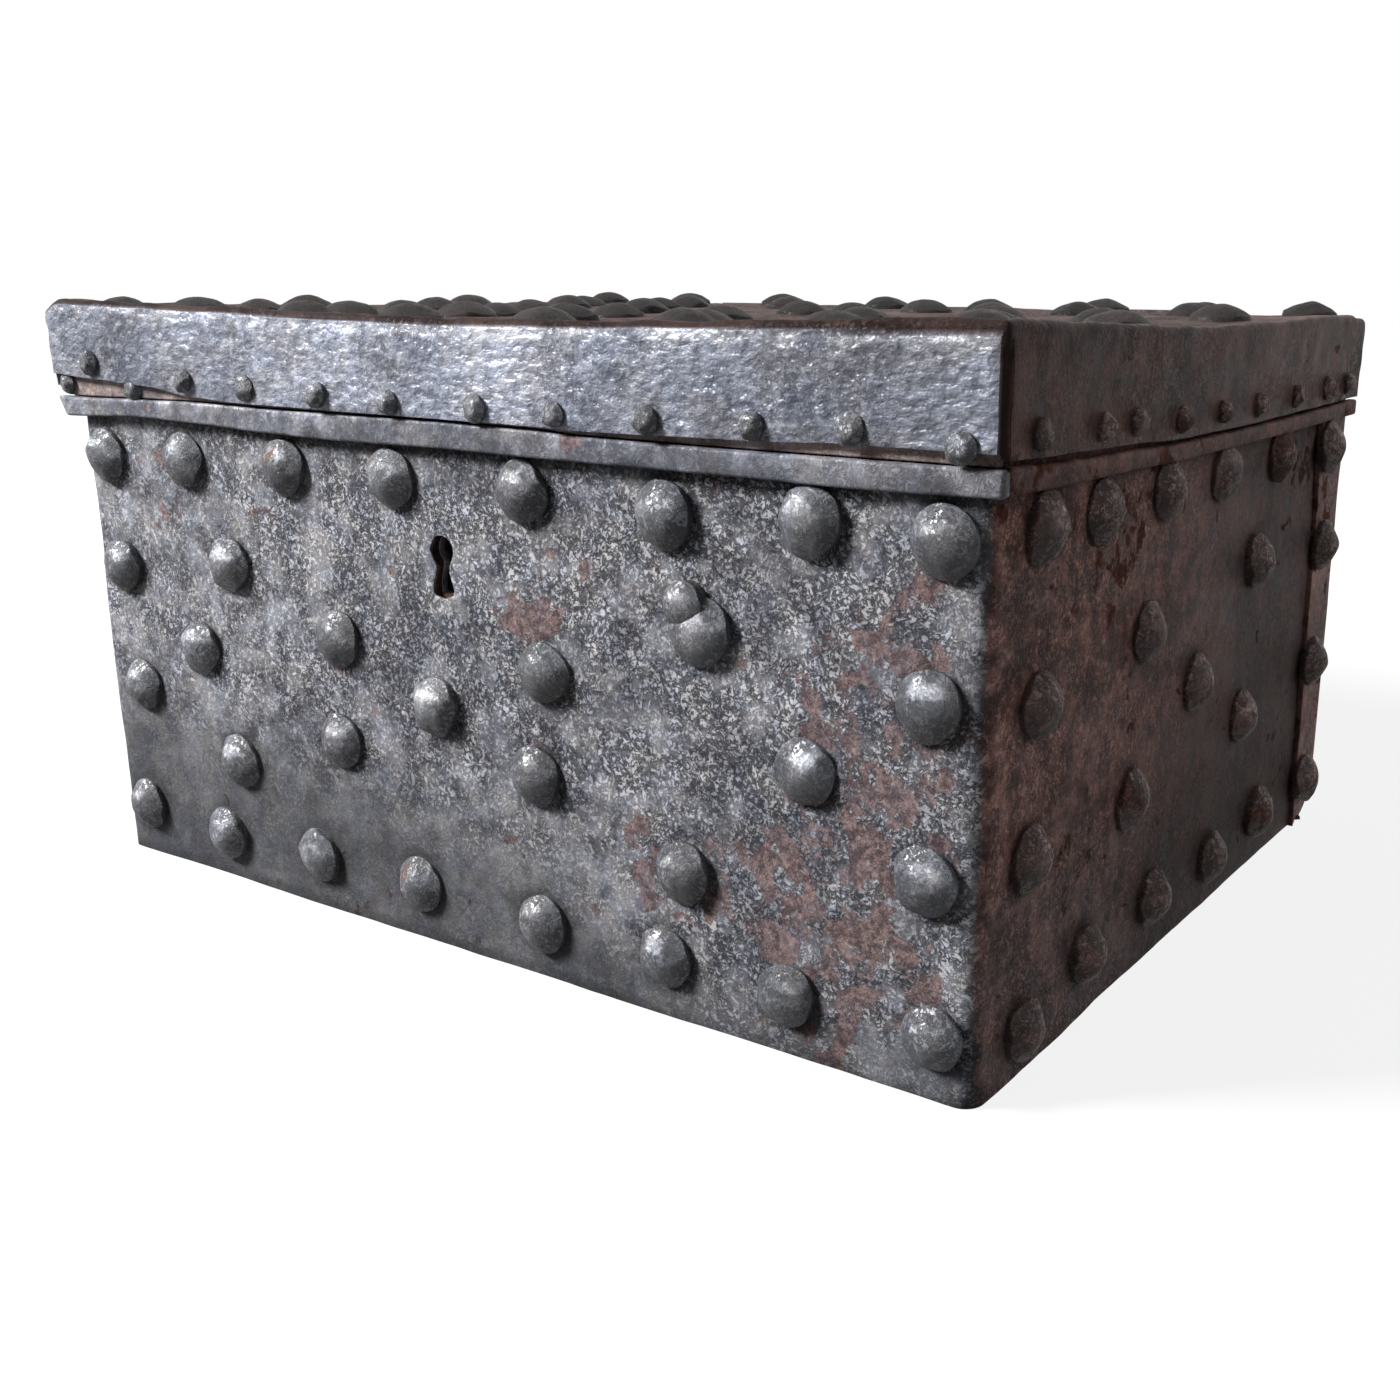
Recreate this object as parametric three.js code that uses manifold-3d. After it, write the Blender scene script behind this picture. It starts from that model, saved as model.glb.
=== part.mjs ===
// Riveted iron strongbox with a skirted lid, strap hinges and a sliding-bolt lock.
// Millimetres, +Z up, front facing -Y. The origin is on the floor at the centre of the base.
// The model is at rest: lid shut, bolt drawn back.

import * as THREE from 'three';
import { mergeVertices } from 'three/addons/utils/BufferGeometryUtils.js';
import Module from 'manifold-3d';

const wasm = await Module();
wasm.setup();

// Overall sizes
const bodyWidth = 386;
const bodyDepth = 308;
const bandFoot = 172;
const lidRise = 31;

// Sheets and bars
const sheetThickness = 2;
const sheetBendInner = 4;
const liningThickness = 1.4;
const liningSetback = 1;
const bottomThickness = 2;
const bottomEdgeHeight = 30;
const bottomBendInner = 1.7;
const bandThickness = 4.2;
const bandHeight = 9;
const lidThickness = 2.2;
const stripThickness = 1.7;
const stripHeight = 19;
const rimStand = 14;
const cornerSlit = 0.4;
const cornerSlitLeft = 5;

// Clearances, and how far a cut or a root runs past the face it starts from
const seatGap = 0.3;
const lidClearance = 0.8;
const jointGap = 0.5;
const skirtLift = 1.6;
const overrun = 1;

// Back plate: flanges that lap over the rear of the sides, and a lower edge that rolls under the box
const flangeTopWidth = 33;
const flangeFootWidth = 24;
const flangeBendInner = 1;
const rearFootRadius = 20;
const wrapRearGap = 1;

// Dome studs, and the small hammered rivets round the skirt
const studRadius = 10.4;
const studHeight = 7;
const studRoot = 1.2;
const studSides = 8;
const skirtRivetRadius = 4.2;
const skirtRivetHeight = 4.3;
const skirtRivetMargin = 0.3;
const skirtRivetSides = 6;

// Keyhole, and the key axis behind it
const keyholeWidthShare = 0.491;
const keyAxisDrop = 33;
const keyholeHeadRadius = 5;
const keyholeWaistWidth = 6.4;
const keyholeWaistDrop = 6;
const keyholeFootWidth = 9.2;
const keyholeFootHeight = 4;
const keyholeDrop = 14.5;

// Hinges
const hingeSpacing = 210;
const pinRadius = 2;
const pinClearance = 0.3;
const pinHeadLip = 1.5;
const pinHeadLength = 2;
const pinTailLip = 0.8;
const pinTailLength = 1.5;
const eyeWall = 2.1;
const lidEyeWidth = 12;
const bodyEyeWidth = 10;
const eyeSideGap = 0.4;
const bodyStrapThickness = 3;
const bodyStrapLength = 89;
const bodyStrapCrankFoot = 18;
const bodyStrapCrankRise = 13;
const eyeLeanAngle = 30;
const lidStrapThickness = 2.5;
const lidStrapMargin = 3;
const lidStrapGap = 1.6;
const lidStrapNeck = 3;
const bandHingeGap = 0.6;
const lidOpenAngle = 105;
const heelLength = 4.1;
const heelThickness = 3.2;
const heelFloorGap = 0.7;
const heelFaceSetback = 2;
const heelStepGap = 2.1;

// Rivets of the hinges, the flanges, the lock and the staple
const shankRadius = 2.3;
const shankClearance = 0.3;
const shankSides = 6;
const strapRivetRadius = 5;
const strapRivetHeight = 3;
const lockRivetRadius = 4;
const lockRivetHeight = 2.4;
const smallHeadSides = 8;
const lidStrapRivetInset = 6.4;
const lidStrapRivetDrop = 5;

// Lock plate, measured from the key axis
const lockPlateThickness = 2.4;
const lockPlateTailMargin = 4;
const lockPlateNoseReveal = 6;
const lockPlateDrop = 23;
const lockPlateTopMargin = 10;
const lockRivetMargin = 6;

// Bolt, measured from the key axis
const boltThrow = 12;
const boltThickness = 3.5;
const boltHeight = 18;
const boltFootRise = 10;
const boltTail = 50;
const boltCrankStart = 28;
const boltCrankLength = 8;
const boltNoseLength = 10;
const boltNoseHeight = 10;
const boltNoseThickness = 5.4;
const talonWidth = 12;
const talonDepth = 4;

// Bolt guides
const guideWidth = 6;
const guideThickness = 2;
const guideLegHeight = 2.5;
const guideLeftOffset = 34;

// Ward ring, key bridge and back spring
const wardGap = 0.5;
const wardThickness = 1.2;
const wardLength = 4;
const wardGapAngle = 80;
const capGuideGap = 1.5;
const capThickness = 2;
const capDepth = 10;
const capDrop = 19;
const capBoltGap = 1;
const keyTipRadius = 4.2;
const springWidth = 3;
const springThickness = 1.1;
const springFootOffset = 36;
const springFootWidth = 8;
const springFootHeight = 7;
const springFootRise = 6;
const springTip = 8;
const springTipLift = 2.5;
const springTipLength = 6;

// Staple that hangs from the lid
const stapleThickness = 5;
const stapleBar = 3;
const stapleFootBar = 4;
const stapleGap = 2;
const stapleEyeClearance = 0.6;
const stapleHeadroom = 3;
const stapleFootThickness = 3;
const stapleFootWidth = 38;
const stapleFootDepth = 18;
const stapleRivetSpacing = 26;
const noseRunIn = 2;

// Fineness of round shapes
const bendSteps = 3;
const rollSteps = 5;
const eyeSteps = 6;
const ringSteps = 8;

// Places of the front studs as shares: across the width, up the wall, and of the full size
const frontStudShares = [
  [0.040, 0.981, 1], [0.161, 0.991, 1], [0.303, 0.997, 1], [0.439, 0.998, 1],
  [0.588, 0.998, 1], [0.730, 0.983, 1], [0.860, 0.998, 1], [0.966, 0.988, 1],
  [0.046, 0.706, 1], [0.214, 0.750, 1], [0.748, 0.839, 0.8], [0.757, 0.766, 1],
  [0.059, 0.399, 1], [0.158, 0.526, 1], [0.357, 0.616, 1], [0.604, 0.628, 1],
  [0.476, 0.503, 1], [0.957, 0.695, 1], [0.350, 0.371, 1], [0.203, 0.257, 1],
  [0.589, 0.397, 1], [0.856, 0.529, 1], [0.741, 0.262, 1], [0.958, 0.368, 1],
  [0.044, 0.068, 1], [0.171, 0.049, 1], [0.307, 0.063, 1], [0.442, 0.066, 1],
  [0.589, 0.057, 1], [0.722, 0.066, 1], [0.839, 0.061, 1], [0.966, 0.061, 1],
];

// Places of the right side's studs as shares: back along the depth, up the wall, and of the full size
const rightStudShares = [
  [0.089, 0.995, 1], [0.214, 0.993, 1], [0.374, 0.997, 1], [0.541, 0.998, 1], [0.735, 0.998, 1],
  [0.679, 0.757, 1], [0.347, 0.708, 1], [0.498, 0.535, 1], [0.665, 0.373, 1], [0.095, 0.668, 1],
  [0.327, 0.353, 1], [0.761, 0.067, 1], [0.090, 0.373, 1], [0.592, 0.052, 1], [0.408, 0.075, 1],
  [0.230, 0.077, 1], [0.090, 0.026, 1],
];

// Places of the left side's studs as shares
const leftStudShares = [
  [0.092, 0.987, 1], [0.240, 0.996, 1], [0.395, 0.991, 1], [0.560, 0.998, 1], [0.720, 0.989, 1],
  [0.175, 0.728, 1], [0.450, 0.751, 1], [0.660, 0.677, 1], [0.090, 0.523, 1], [0.310, 0.551, 1],
  [0.540, 0.466, 1], [0.745, 0.386, 1], [0.200, 0.306, 1], [0.420, 0.272, 1], [0.620, 0.237, 1],
  [0.095, 0.055, 1], [0.260, 0.064, 1], [0.430, 0.052, 1], [0.590, 0.066, 1], [0.750, 0.059, 1],
];

// Places of the back plate's studs as shares: across the clear width left of, between and right of
// the hinge straps, up the wall, and of the full size
const backLeftStudShares = [
  [0.25, 0.974, 1], [0.95, 0.985, 1], [0.60, 0.720, 1], [0.10, 0.455, 1], [0.75, 0.310, 1],
  [0.20, 0.110, 1], [0.95, 0.114, 1],
];
const backMiddleStudShares = [
  [0.08, 0.992, 1], [0.50, 0.988, 1], [0.92, 0.996, 1], [0.24, 0.728, 1], [0.72, 0.682, 1],
  [0.02, 0.470, 1], [0.96, 0.478, 1], [0.40, 0.302, 1], [0.06, 0.108, 1], [0.50, 0.116, 1],
  [0.94, 0.110, 1],
];
const backRightStudShares = [
  [0.10, 0.990, 1], [0.80, 0.980, 1], [0.35, 0.728, 1], [0.85, 0.440, 1], [0.20, 0.270, 1],
  [0.10, 0.112, 1], [0.80, 0.108, 1],
];

// Places of the lid's studs as shares: across the width and from the front along the depth
const lidStudShares = [
  [0.045, 0.060, 1], [0.170, 0.052, 1], [0.305, 0.060, 1], [0.440, 0.055, 1],
  [0.580, 0.058, 1], [0.720, 0.052, 1], [0.845, 0.060, 1], [0.957, 0.056, 1],
  [0.105, 0.195, 1], [0.250, 0.180, 1], [0.380, 0.205, 1], [0.515, 0.185, 1],
  [0.650, 0.200, 1], [0.785, 0.180, 1], [0.905, 0.205, 1],
  [0.045, 0.330, 1], [0.185, 0.340, 1], [0.325, 0.325, 1], [0.460, 0.345, 1],
  [0.590, 0.330, 1], [0.725, 0.345, 1], [0.957, 0.335, 1],
  [0.110, 0.485, 1], [0.260, 0.475, 1], [0.395, 0.495, 1], [0.650, 0.480, 1],
  [0.790, 0.495, 1], [0.895, 0.470, 1],
  [0.045, 0.630, 1], [0.190, 0.640, 1], [0.330, 0.625, 1], [0.525, 0.610, 1],
  [0.600, 0.760, 1], [0.730, 0.635, 1], [0.955, 0.620, 1],
  [0.110, 0.790, 1], [0.270, 0.785, 1], [0.420, 0.775, 1], [0.760, 0.790, 1], [0.885, 0.775, 1],
  [0.045, 0.940, 1], [0.175, 0.945, 1], [0.320, 0.940, 1], [0.465, 0.945, 1],
  [0.600, 0.938, 1], [0.735, 0.945, 1], [0.850, 0.940, 1], [0.955, 0.942, 1],
];

// Places of the small rivets along each skirt, as shares of the body's width or depth
const frontRivetShares = [
  0.035, 0.085, 0.135, 0.215, 0.296, 0.386, 0.469, 0.565, 0.644, 0.732, 0.825, 0.904, 0.980,
];
const sideRivetShares = [0.046, 0.175, 0.250, 0.366, 0.486, 0.602, 0.734, 0.860, 0.950];
const backEndRivetShares = [0.10, 0.85];
const backMiddleRivetShares = [0.04, 0.27, 0.50, 0.73, 0.96];

// Places of the big rivets up each flange: behind its edge as shares of the stud radius, and up the wall
const flangeRivetShares = [[0.57, 0.985], [0.72, 0.725], [0.51, 0.405], [0.49, 0.066]];

// Places of the rivets up the straight part of each hinge's body strap
const bodyStrapRivetShares = [0.17, 0.51, 0.85];

// Profile of a dome as shares of its radius and height, from the crown to the edge
const domeShares = [[0, 1], [0.55, 0.84], [0.88, 0.46], [1, 0]];
const hammeredShares = [[0, 1], [0.62, 0.72], [1, 0]];

// Places worked out from the sizes
const halfWidth = bodyWidth / 2;
const halfDepth = bodyDepth / 2;
const bandTop = bandFoot + bandHeight;
const bodyTop = bandTop + rimStand;
const lidTop = bandTop + lidRise;
const sheetBendOuter = sheetBendInner + sheetThickness;
const flangeBendOuter = flangeBendInner + sheetThickness;
const stripFoot = bandTop + jointGap;
const skirtFoot = stripFoot + skirtLift;
const skirtInner = lidClearance + stripThickness + seatGap;
const skirtOuter = skirtInner + lidThickness;
const lidHalfWidth = halfWidth + skirtOuter;
const lidHalfDepth = halfDepth + skirtOuter;
const lidUnderside = lidTop - lidThickness;
const liningOuter = sheetThickness + seatGap;
const liningInner = liningOuter + liningThickness;
const liningFoot = bottomEdgeHeight + seatGap;
const liningTop = bodyTop - liningSetback;
const bandInner = seatGap;
const bandOuter = bandInner + bandThickness;
const flangeTop = bandFoot - seatGap;
const flangeOuter = seatGap + sheetThickness;
const keyX = (keyholeWidthShare - 0.5) * bodyWidth;
const keyAxisHeight = bandFoot - keyAxisDrop;
const eyeRadius = pinRadius + pinClearance + eyeWall;
const boreRadius = pinRadius + pinClearance;
const pinY = halfDepth + skirtOuter + seatGap + eyeRadius;
const pinZ = bandTop;
const heelReach = eyeRadius + heelLength;
const bodyStrapFoot = pinZ - bodyStrapLength;
const bodyStrapBend = pinZ - bodyStrapCrankFoot;
const hingeHalfWidth = lidEyeWidth / 2 + eyeSideGap + bodyEyeWidth;
const slotHalfWidth = lidEyeWidth / 2 + eyeSideGap;
const shankHoleRadius = shankRadius + shankClearance;

const strongbox = new THREE.Group();

// A material of its own for each piece
function iron(color, roughness, metalness) {
  return new THREE.MeshStandardMaterial({ color, roughness, metalness });
}
const bodyIron = () => iron(0x3a3b40, 0.55, 0.75);
const liningIron = () => iron(0x3b2c27, 0.8, 0.45);
const bandIron = () => iron(0x4b4c50, 0.5, 0.75);
const lidIron = () => iron(0x52545a, 0.5, 0.8);
const stripIron = () => iron(0x5a4038, 0.8, 0.4);
const hingeIron = () => iron(0x36353a, 0.6, 0.75);
const rivetIron = () => iron(0x45464b, 0.45, 0.85);
const lockSteel = () => iron(0x6a6a6c, 0.45, 0.85);

// A closed solid from a geometry: only its places are kept, and shared corners are merged
function solidOf(geometry) {
  geometry.deleteAttribute('normal');
  geometry.deleteAttribute('uv');
  const merged = mergeVertices(geometry);
  const vertProperties = new Float32Array(merged.attributes.position.array);
  const triVerts = new Uint32Array(merged.index.array);
  return new wasm.Manifold(new wasm.Mesh({ numProp: 3, vertProperties, triVerts }));
}

// A named mesh from a solid, added to the box
function addPiece(name, solid, material) {
  const data = solid.getMesh();
  const geometry = new THREE.BufferGeometry();
  const places = new Float32Array(data.vertProperties);
  geometry.setAttribute('position', new THREE.BufferAttribute(places, data.numProp));
  geometry.setIndex(new THREE.BufferAttribute(new Uint32Array(data.triVerts), 1));
  geometry.computeVertexNormals();
  const mesh = new THREE.Mesh(geometry, material);
  mesh.name = name;
  strongbox.add(mesh);
}

// A box between two corners
function block([x0, y0, z0], [x1, y1, z1]) {
  const geometry = new THREE.BoxGeometry(x1 - x0, y1 - y0, z1 - z0);
  geometry.translate((x0 + x1) / 2, (y0 + y1) / 2, (z0 + z1) / 2);
  return solidOf(geometry);
}

// An outline drawn in (Y, Z), (X, Z) or (X, Y) and carried along the third axis
const outlineFrames = {
  x: [new THREE.Vector3(0, 1, 0), new THREE.Vector3(0, 0, 1), new THREE.Vector3(1, 0, 0)],
  y: [new THREE.Vector3(1, 0, 0), new THREE.Vector3(0, 0, 1), new THREE.Vector3(0, -1, 0)],
  z: [new THREE.Vector3(1, 0, 0), new THREE.Vector3(0, 1, 0), new THREE.Vector3(0, 0, 1)],
};
function prism(shape, along, from, to, curveSegments = bendSteps) {
  const geometry = new THREE.ExtrudeGeometry(shape, { depth: to - from, bevelEnabled: false, curveSegments });
  const frame = new THREE.Matrix4().makeBasis(...outlineFrames[along]);
  frame.setPosition(outlineFrames[along][2].clone().multiplyScalar(along === 'y' ? -to : from));
  geometry.applyMatrix4(frame);
  return solidOf(geometry);
}

// A closed outline through points
function outline(points) {
  const shape = new THREE.Shape();
  points.forEach(([u, v], i) => (i === 0 ? shape.moveTo(u, v) : shape.lineTo(u, v)));
  shape.closePath();
  return shape;
}

// A round solid from a profile of [radius, height] pairs, turned so its height runs along a direction
const headings = {
  front: new THREE.Vector3(0, -1, 0),
  back: new THREE.Vector3(0, 1, 0),
  left: new THREE.Vector3(-1, 0, 0),
  right: new THREE.Vector3(1, 0, 0),
  up: new THREE.Vector3(0, 0, 1),
  down: new THREE.Vector3(0, 0, -1),
};
function turned(profile, heading, place, sides) {
  const points = profile.map(([r, h]) => new THREE.Vector2(r, h));
  const geometry = new THREE.LatheGeometry(points, sides);
  geometry.rotateY(Math.PI / sides);
  const turn = new THREE.Quaternion().setFromUnitVectors(new THREE.Vector3(0, 1, 0), headings[heading]);
  geometry.applyQuaternion(turn);
  geometry.translate(...place);
  return solidOf(geometry);
}

// A dome or hammered head: from the root below the face, up the shares to the crown on the axis
function headProfile(shares, radius, height, root) {
  const rise = shares.map(([r, h]) => [r * radius, h * height]).reverse();
  return [[0, -root], [radius, -root], ...rise];
}
function stud(heading, place, sizeShare) {
  const profile = headProfile(domeShares, studRadius * sizeShare, studHeight * sizeShare, studRoot);
  return turned(profile, heading, place, studSides);
}
function skirtRivet(heading, place) {
  const profile = headProfile(hammeredShares, skirtRivetRadius, skirtRivetHeight, overrun);
  return turned(profile, heading, place, skirtRivetSides);
}

// A rivet of its own: a head seated a gap above the face, and a shank of the grip's length below it
function rivet(heading, place, grip, radius, height, sides) {
  const head = headProfile(domeShares, radius, height, 0).slice(2).map(([r, h]) => [r, h + seatGap]);
  const profile = [[0, -grip], [shankRadius, -grip], [shankRadius, seatGap], ...head];
  return turned(profile, heading, place, sides);
}
function shankHole(heading, place, grip) {
  const radius = shankHoleRadius / Math.cos(Math.PI / shankSides);
  const profile = [[0, -grip - overrun], [radius, -grip - overrun], [radius, overrun], [0, overrun]];
  return turned(profile, heading, place, shankSides);
}

// Places on each face of the body and the lid
const studLow = studRadius + seatGap;
const studHigh = bandFoot - studRadius - seatGap;
const upWall = (v) => studLow + v * (studHigh - studLow);
const onFront = ([u, v]) => [(u - 0.5) * bodyWidth, -halfDepth, upWall(v)];
const onRight = ([u, v]) => [halfWidth, (u - 0.5) * bodyDepth, upWall(v)];
const onLeft = ([u, v]) => [-halfWidth, (u - 0.5) * bodyDepth, upWall(v)];
const onLid = ([u, v]) => [(u - 0.5) * 2 * lidHalfWidth, (v - 0.5) * 2 * lidHalfDepth, lidTop];

// Every rivet that is a piece of its own, with the solids it passes through
const rivets = [];
function addRivet(name, heading, place, grip, radius, height, sides, through) {
  rivets.push({ name, heading, place, grip, radius, height, sides, through });
}
function drilled(name, solid) {
  const holes = rivets.filter((one) => one.through.includes(name));
  return holes.reduce((cut, one) => cut.subtract(shankHole(one.heading, one.place, one.grip)), solid);
}

// Big rivets up the flanges
const flangeGrip = flangeOuter + liningInner;
flangeRivetShares.forEach(([setback, v], i) => {
  const z = upWall(v);
  const flangeWidth = flangeFootWidth + (flangeTopWidth - flangeFootWidth) * z / flangeTop;
  const y = halfDepth - flangeWidth + setback * studRadius;
  const face = halfWidth + flangeOuter;
  const right = ['back_plate', 'body_wrap_sheet', 'right_lining', 'bottom_plate'];
  const left = ['back_plate', 'body_wrap_sheet', 'left_lining', 'bottom_plate'];
  addRivet(`flange_rivet_right_${i + 1}`, 'right', [face, y, z], flangeGrip,
    studRadius, studHeight, studSides, right);
  addRivet(`flange_rivet_left_${i + 1}`, 'left', [-face, y, z], flangeGrip,
    studRadius, studHeight, studSides, left);
});

// Rivets of the hinge straps
const hingeSides = [['left', -hingeSpacing / 2], ['right', hingeSpacing / 2]];
const bodyStrapFace = halfDepth + seatGap + bodyStrapThickness;
const bodyStrapGrip = seatGap + bodyStrapThickness + liningInner;
const lidStrapInner = halfDepth + skirtOuter + seatGap;
const lidStrapFace = lidStrapInner + lidStrapThickness;
const lidStrapTop = lidTop - lidStrapMargin;
const lidStrapGrip = lidStrapThickness + seatGap + lidThickness;
for (const [side, x] of hingeSides) {
  bodyStrapRivetShares.forEach((share, i) => {
    const z = bodyStrapFoot + share * (bodyStrapBend - bodyStrapFoot);
    const through = [`hinge_body_strap_${side}`, 'back_plate', 'back_lining'];
    addRivet(`hinge_body_rivet_${side}_${i + 1}`, 'back', [x, bodyStrapFace, z], bodyStrapGrip,
      strapRivetRadius, strapRivetHeight, smallHeadSides, through);
  });
  for (const [step, way] of [[1, -1], [2, 1]]) {
    const rivetX = x + way * (hingeHalfWidth - lidStrapRivetInset);
    const place = [rivetX, lidStrapFace, lidStrapTop - lidStrapRivetDrop];
    const through = [`hinge_lid_strap_${side}`, 'lid_sheet'];
    addRivet(`hinge_lid_rivet_${side}_${step}`, 'back', place, lidStrapGrip,
      strapRivetRadius, strapRivetHeight, smallHeadSides, through);
  }
}

// Rivets of the lock plate, one near each corner
const lockPlateOuterY = -halfDepth + liningInner + seatGap;
const lockPlateInnerY = lockPlateOuterY + lockPlateThickness;
const lockRivetGrip = lockPlateThickness + seatGap + liningThickness;
const lockPlateLeft = keyX - boltTail - lockPlateTailMargin;
const lockPlateRight = keyX + boltCrankStart + boltCrankLength + boltNoseLength - lockPlateNoseReveal;
const lockPlateFoot = keyAxisHeight - lockPlateDrop;
const lockPlateTop = liningTop - lockPlateTopMargin;
const lockRivetXs = [lockPlateLeft + lockRivetMargin, lockPlateRight - lockRivetMargin];
const lockRivetZs = [lockPlateFoot + lockRivetMargin, lockPlateTop - lockRivetMargin];
lockRivetZs.forEach((z, row) => lockRivetXs.forEach((x, column) => {
  addRivet(`lock_rivet_${row * 2 + column + 1}`, 'back', [x, lockPlateInnerY, z], lockRivetGrip,
    lockRivetRadius, lockRivetHeight, smallHeadSides, ['lock_plate', 'front_lining']);
}));

// Places of the bolt, its nose and the staple, front to back
const boltFrontY = lockPlateInnerY + seatGap;
const boltBackY = boltFrontY + boltThickness;
const guideRightOffset = boltCrankStart - jointGap - guideWidth / 2;
const boltFoot = keyAxisHeight + boltFootRise;
const boltTop = boltFoot + boltHeight;
const noseFoot = boltTop - boltNoseHeight;
const noseFrontY = boltFrontY + stapleBar;
const noseBackY = noseFrontY + boltNoseThickness;
const noseTip = keyX + boltCrankStart + boltCrankLength + boltNoseLength;
const stapleLeft = noseTip + noseRunIn;
const stapleRight = stapleLeft + stapleThickness;
const stapleEyeFrontY = noseFrontY - stapleEyeClearance;
const stapleEyeBackY = noseBackY + stapleEyeClearance;
const stapleFrontY = stapleEyeFrontY - stapleBar;
const stapleBackY = stapleEyeBackY + stapleBar;
const stapleEyeFoot = noseFoot - stapleGap;
const stapleEyeTop = boltTop + stapleHeadroom;
const stapleFoot = stapleEyeFoot - stapleFootBar;
const lidLiningTop = lidUnderside - seatGap;
const lidLiningFoot = lidLiningTop - liningThickness;
const stapleSeat = lidLiningFoot - seatGap;
const staplePlateFoot = stapleSeat - stapleFootThickness;

// Rivets of the staple's foot
const stapleCentreX = (stapleLeft + stapleRight) / 2;
const stapleRivetY = stapleFrontY + stapleFootDepth / 2;
const stapleRivetGrip = stapleFootThickness + seatGap + liningThickness;
for (const [side, way] of [['left', -1], ['right', 1]]) {
  const place = [stapleCentreX + way * stapleRivetSpacing / 2, stapleRivetY, staplePlateFoot];
  addRivet(`staple_rivet_${side}`, 'down', place, stapleRivetGrip,
    lockRivetRadius, lockRivetHeight, smallHeadSides, ['lid_staple', 'lid_lining']);
}

// Plan of a sheet bent round its two front corners and open at the rear
function bentPlan(half, front, rear, thickness, radius) {
  const inner = radius - thickness;
  const bendX = half - radius;
  const bendY = front + radius;
  const quarter = Math.PI / 2;
  const shape = new THREE.Shape();
  shape.moveTo(-half, rear);
  shape.lineTo(-half, bendY);
  shape.absarc(-bendX, bendY, radius, Math.PI, Math.PI + quarter, false);
  shape.lineTo(bendX, front);
  shape.absarc(bendX, bendY, radius, -quarter, 0, false);
  shape.lineTo(half, rear);
  shape.lineTo(half - thickness, rear);
  shape.lineTo(half - thickness, bendY);
  shape.absarc(bendX, bendY, inner, 0, -quarter, true);
  shape.lineTo(-bendX, front + thickness);
  shape.absarc(-bendX, bendY, inner, Math.PI + quarter, Math.PI, true);
  shape.lineTo(-half + thickness, rear);
  shape.closePath();
  return shape;
}

// A plan with four rounded corners
function roundedPlan(half, front, back, radius) {
  const quarter = Math.PI / 2;
  const shape = new THREE.Shape();
  shape.moveTo(-half + radius, front);
  shape.lineTo(half - radius, front);
  shape.absarc(half - radius, front + radius, radius, -quarter, 0, false);
  shape.lineTo(half, back - radius);
  shape.absarc(half - radius, back - radius, radius, 0, quarter, false);
  shape.lineTo(-half + radius, back);
  shape.absarc(-half + radius, back - radius, radius, quarter, Math.PI, false);
  shape.lineTo(-half, front + radius);
  shape.absarc(-half + radius, front + radius, radius, Math.PI, Math.PI + quarter, false);
  shape.closePath();
  return shape;
}

// Everything inside the rolled lower rear edge, drawn in by an inset. Ahead of the roll it reaches
// down to a base, up to a lap short of where the roll starts.
function insideRearFoot(inset, base, lap) {
  const rollY = halfDepth - rearFootRadius;
  const far = halfWidth + halfDepth;
  const shape = new THREE.Shape();
  shape.moveTo(-far, base);
  shape.lineTo(rollY - lap, base);
  shape.lineTo(rollY - lap, inset);
  shape.absarc(rollY, rearFootRadius, rearFootRadius - inset, -Math.PI / 2, 0, false);
  shape.lineTo(halfDepth - inset, bodyTop + overrun);
  shape.lineTo(-far, bodyTop + overrun);
  shape.closePath();
  return prism(shape, 'x', -far, far, rollSteps);
}

// Keyhole: a round head over a waist that flares to a foot
function keyholeOutline() {
  const waist = keyholeWaistWidth / 2;
  const foot = keyholeFootWidth / 2;
  const waistZ = keyAxisHeight - keyholeWaistDrop;
  const footZ = keyAxisHeight - keyholeDrop;
  const neckAngle = Math.asin(waist / keyholeHeadRadius) - Math.PI / 2;
  const shape = new THREE.Shape();
  shape.moveTo(keyX + foot, footZ);
  shape.lineTo(keyX + foot, footZ + keyholeFootHeight);
  shape.lineTo(keyX + waist, waistZ);
  shape.absarc(keyX, keyAxisHeight, keyholeHeadRadius, neckAngle, Math.PI - neckAngle, false);
  shape.lineTo(keyX - waist, waistZ);
  shape.lineTo(keyX - foot, footZ + keyholeFootHeight);
  shape.lineTo(keyX - foot, footZ);
  shape.closePath();
  return shape;
}
const keyhole = prism(keyholeOutline(), 'y', -halfDepth - overrun, lockPlateInnerY + overrun, eyeSteps);

// Joins the studs of one face to its sheet
function studded(solid, shares, heading, placeOf) {
  return shares.reduce((sum, share) => sum.add(stud(heading, placeOf(share), share[2])), solid);
}

// Clear widths of the back, left of, between and right of the hinge straps, for round heads of a radius
function clearWidths(radius, end) {
  const strapNear = hingeSpacing / 2 - hingeHalfWidth - seatGap - radius;
  const strapFar = hingeSpacing / 2 + hingeHalfWidth + seatGap + radius;
  return [[-end + radius, -strapFar], [-strapNear, strapNear], [strapFar, end - radius]];
}
function backFields(radius) {
  const shares = [backLeftStudShares, backMiddleStudShares, backRightStudShares];
  return clearWidths(radius, halfWidth).map(([from, to], i) => [shares[i], from, to]);
}

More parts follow.
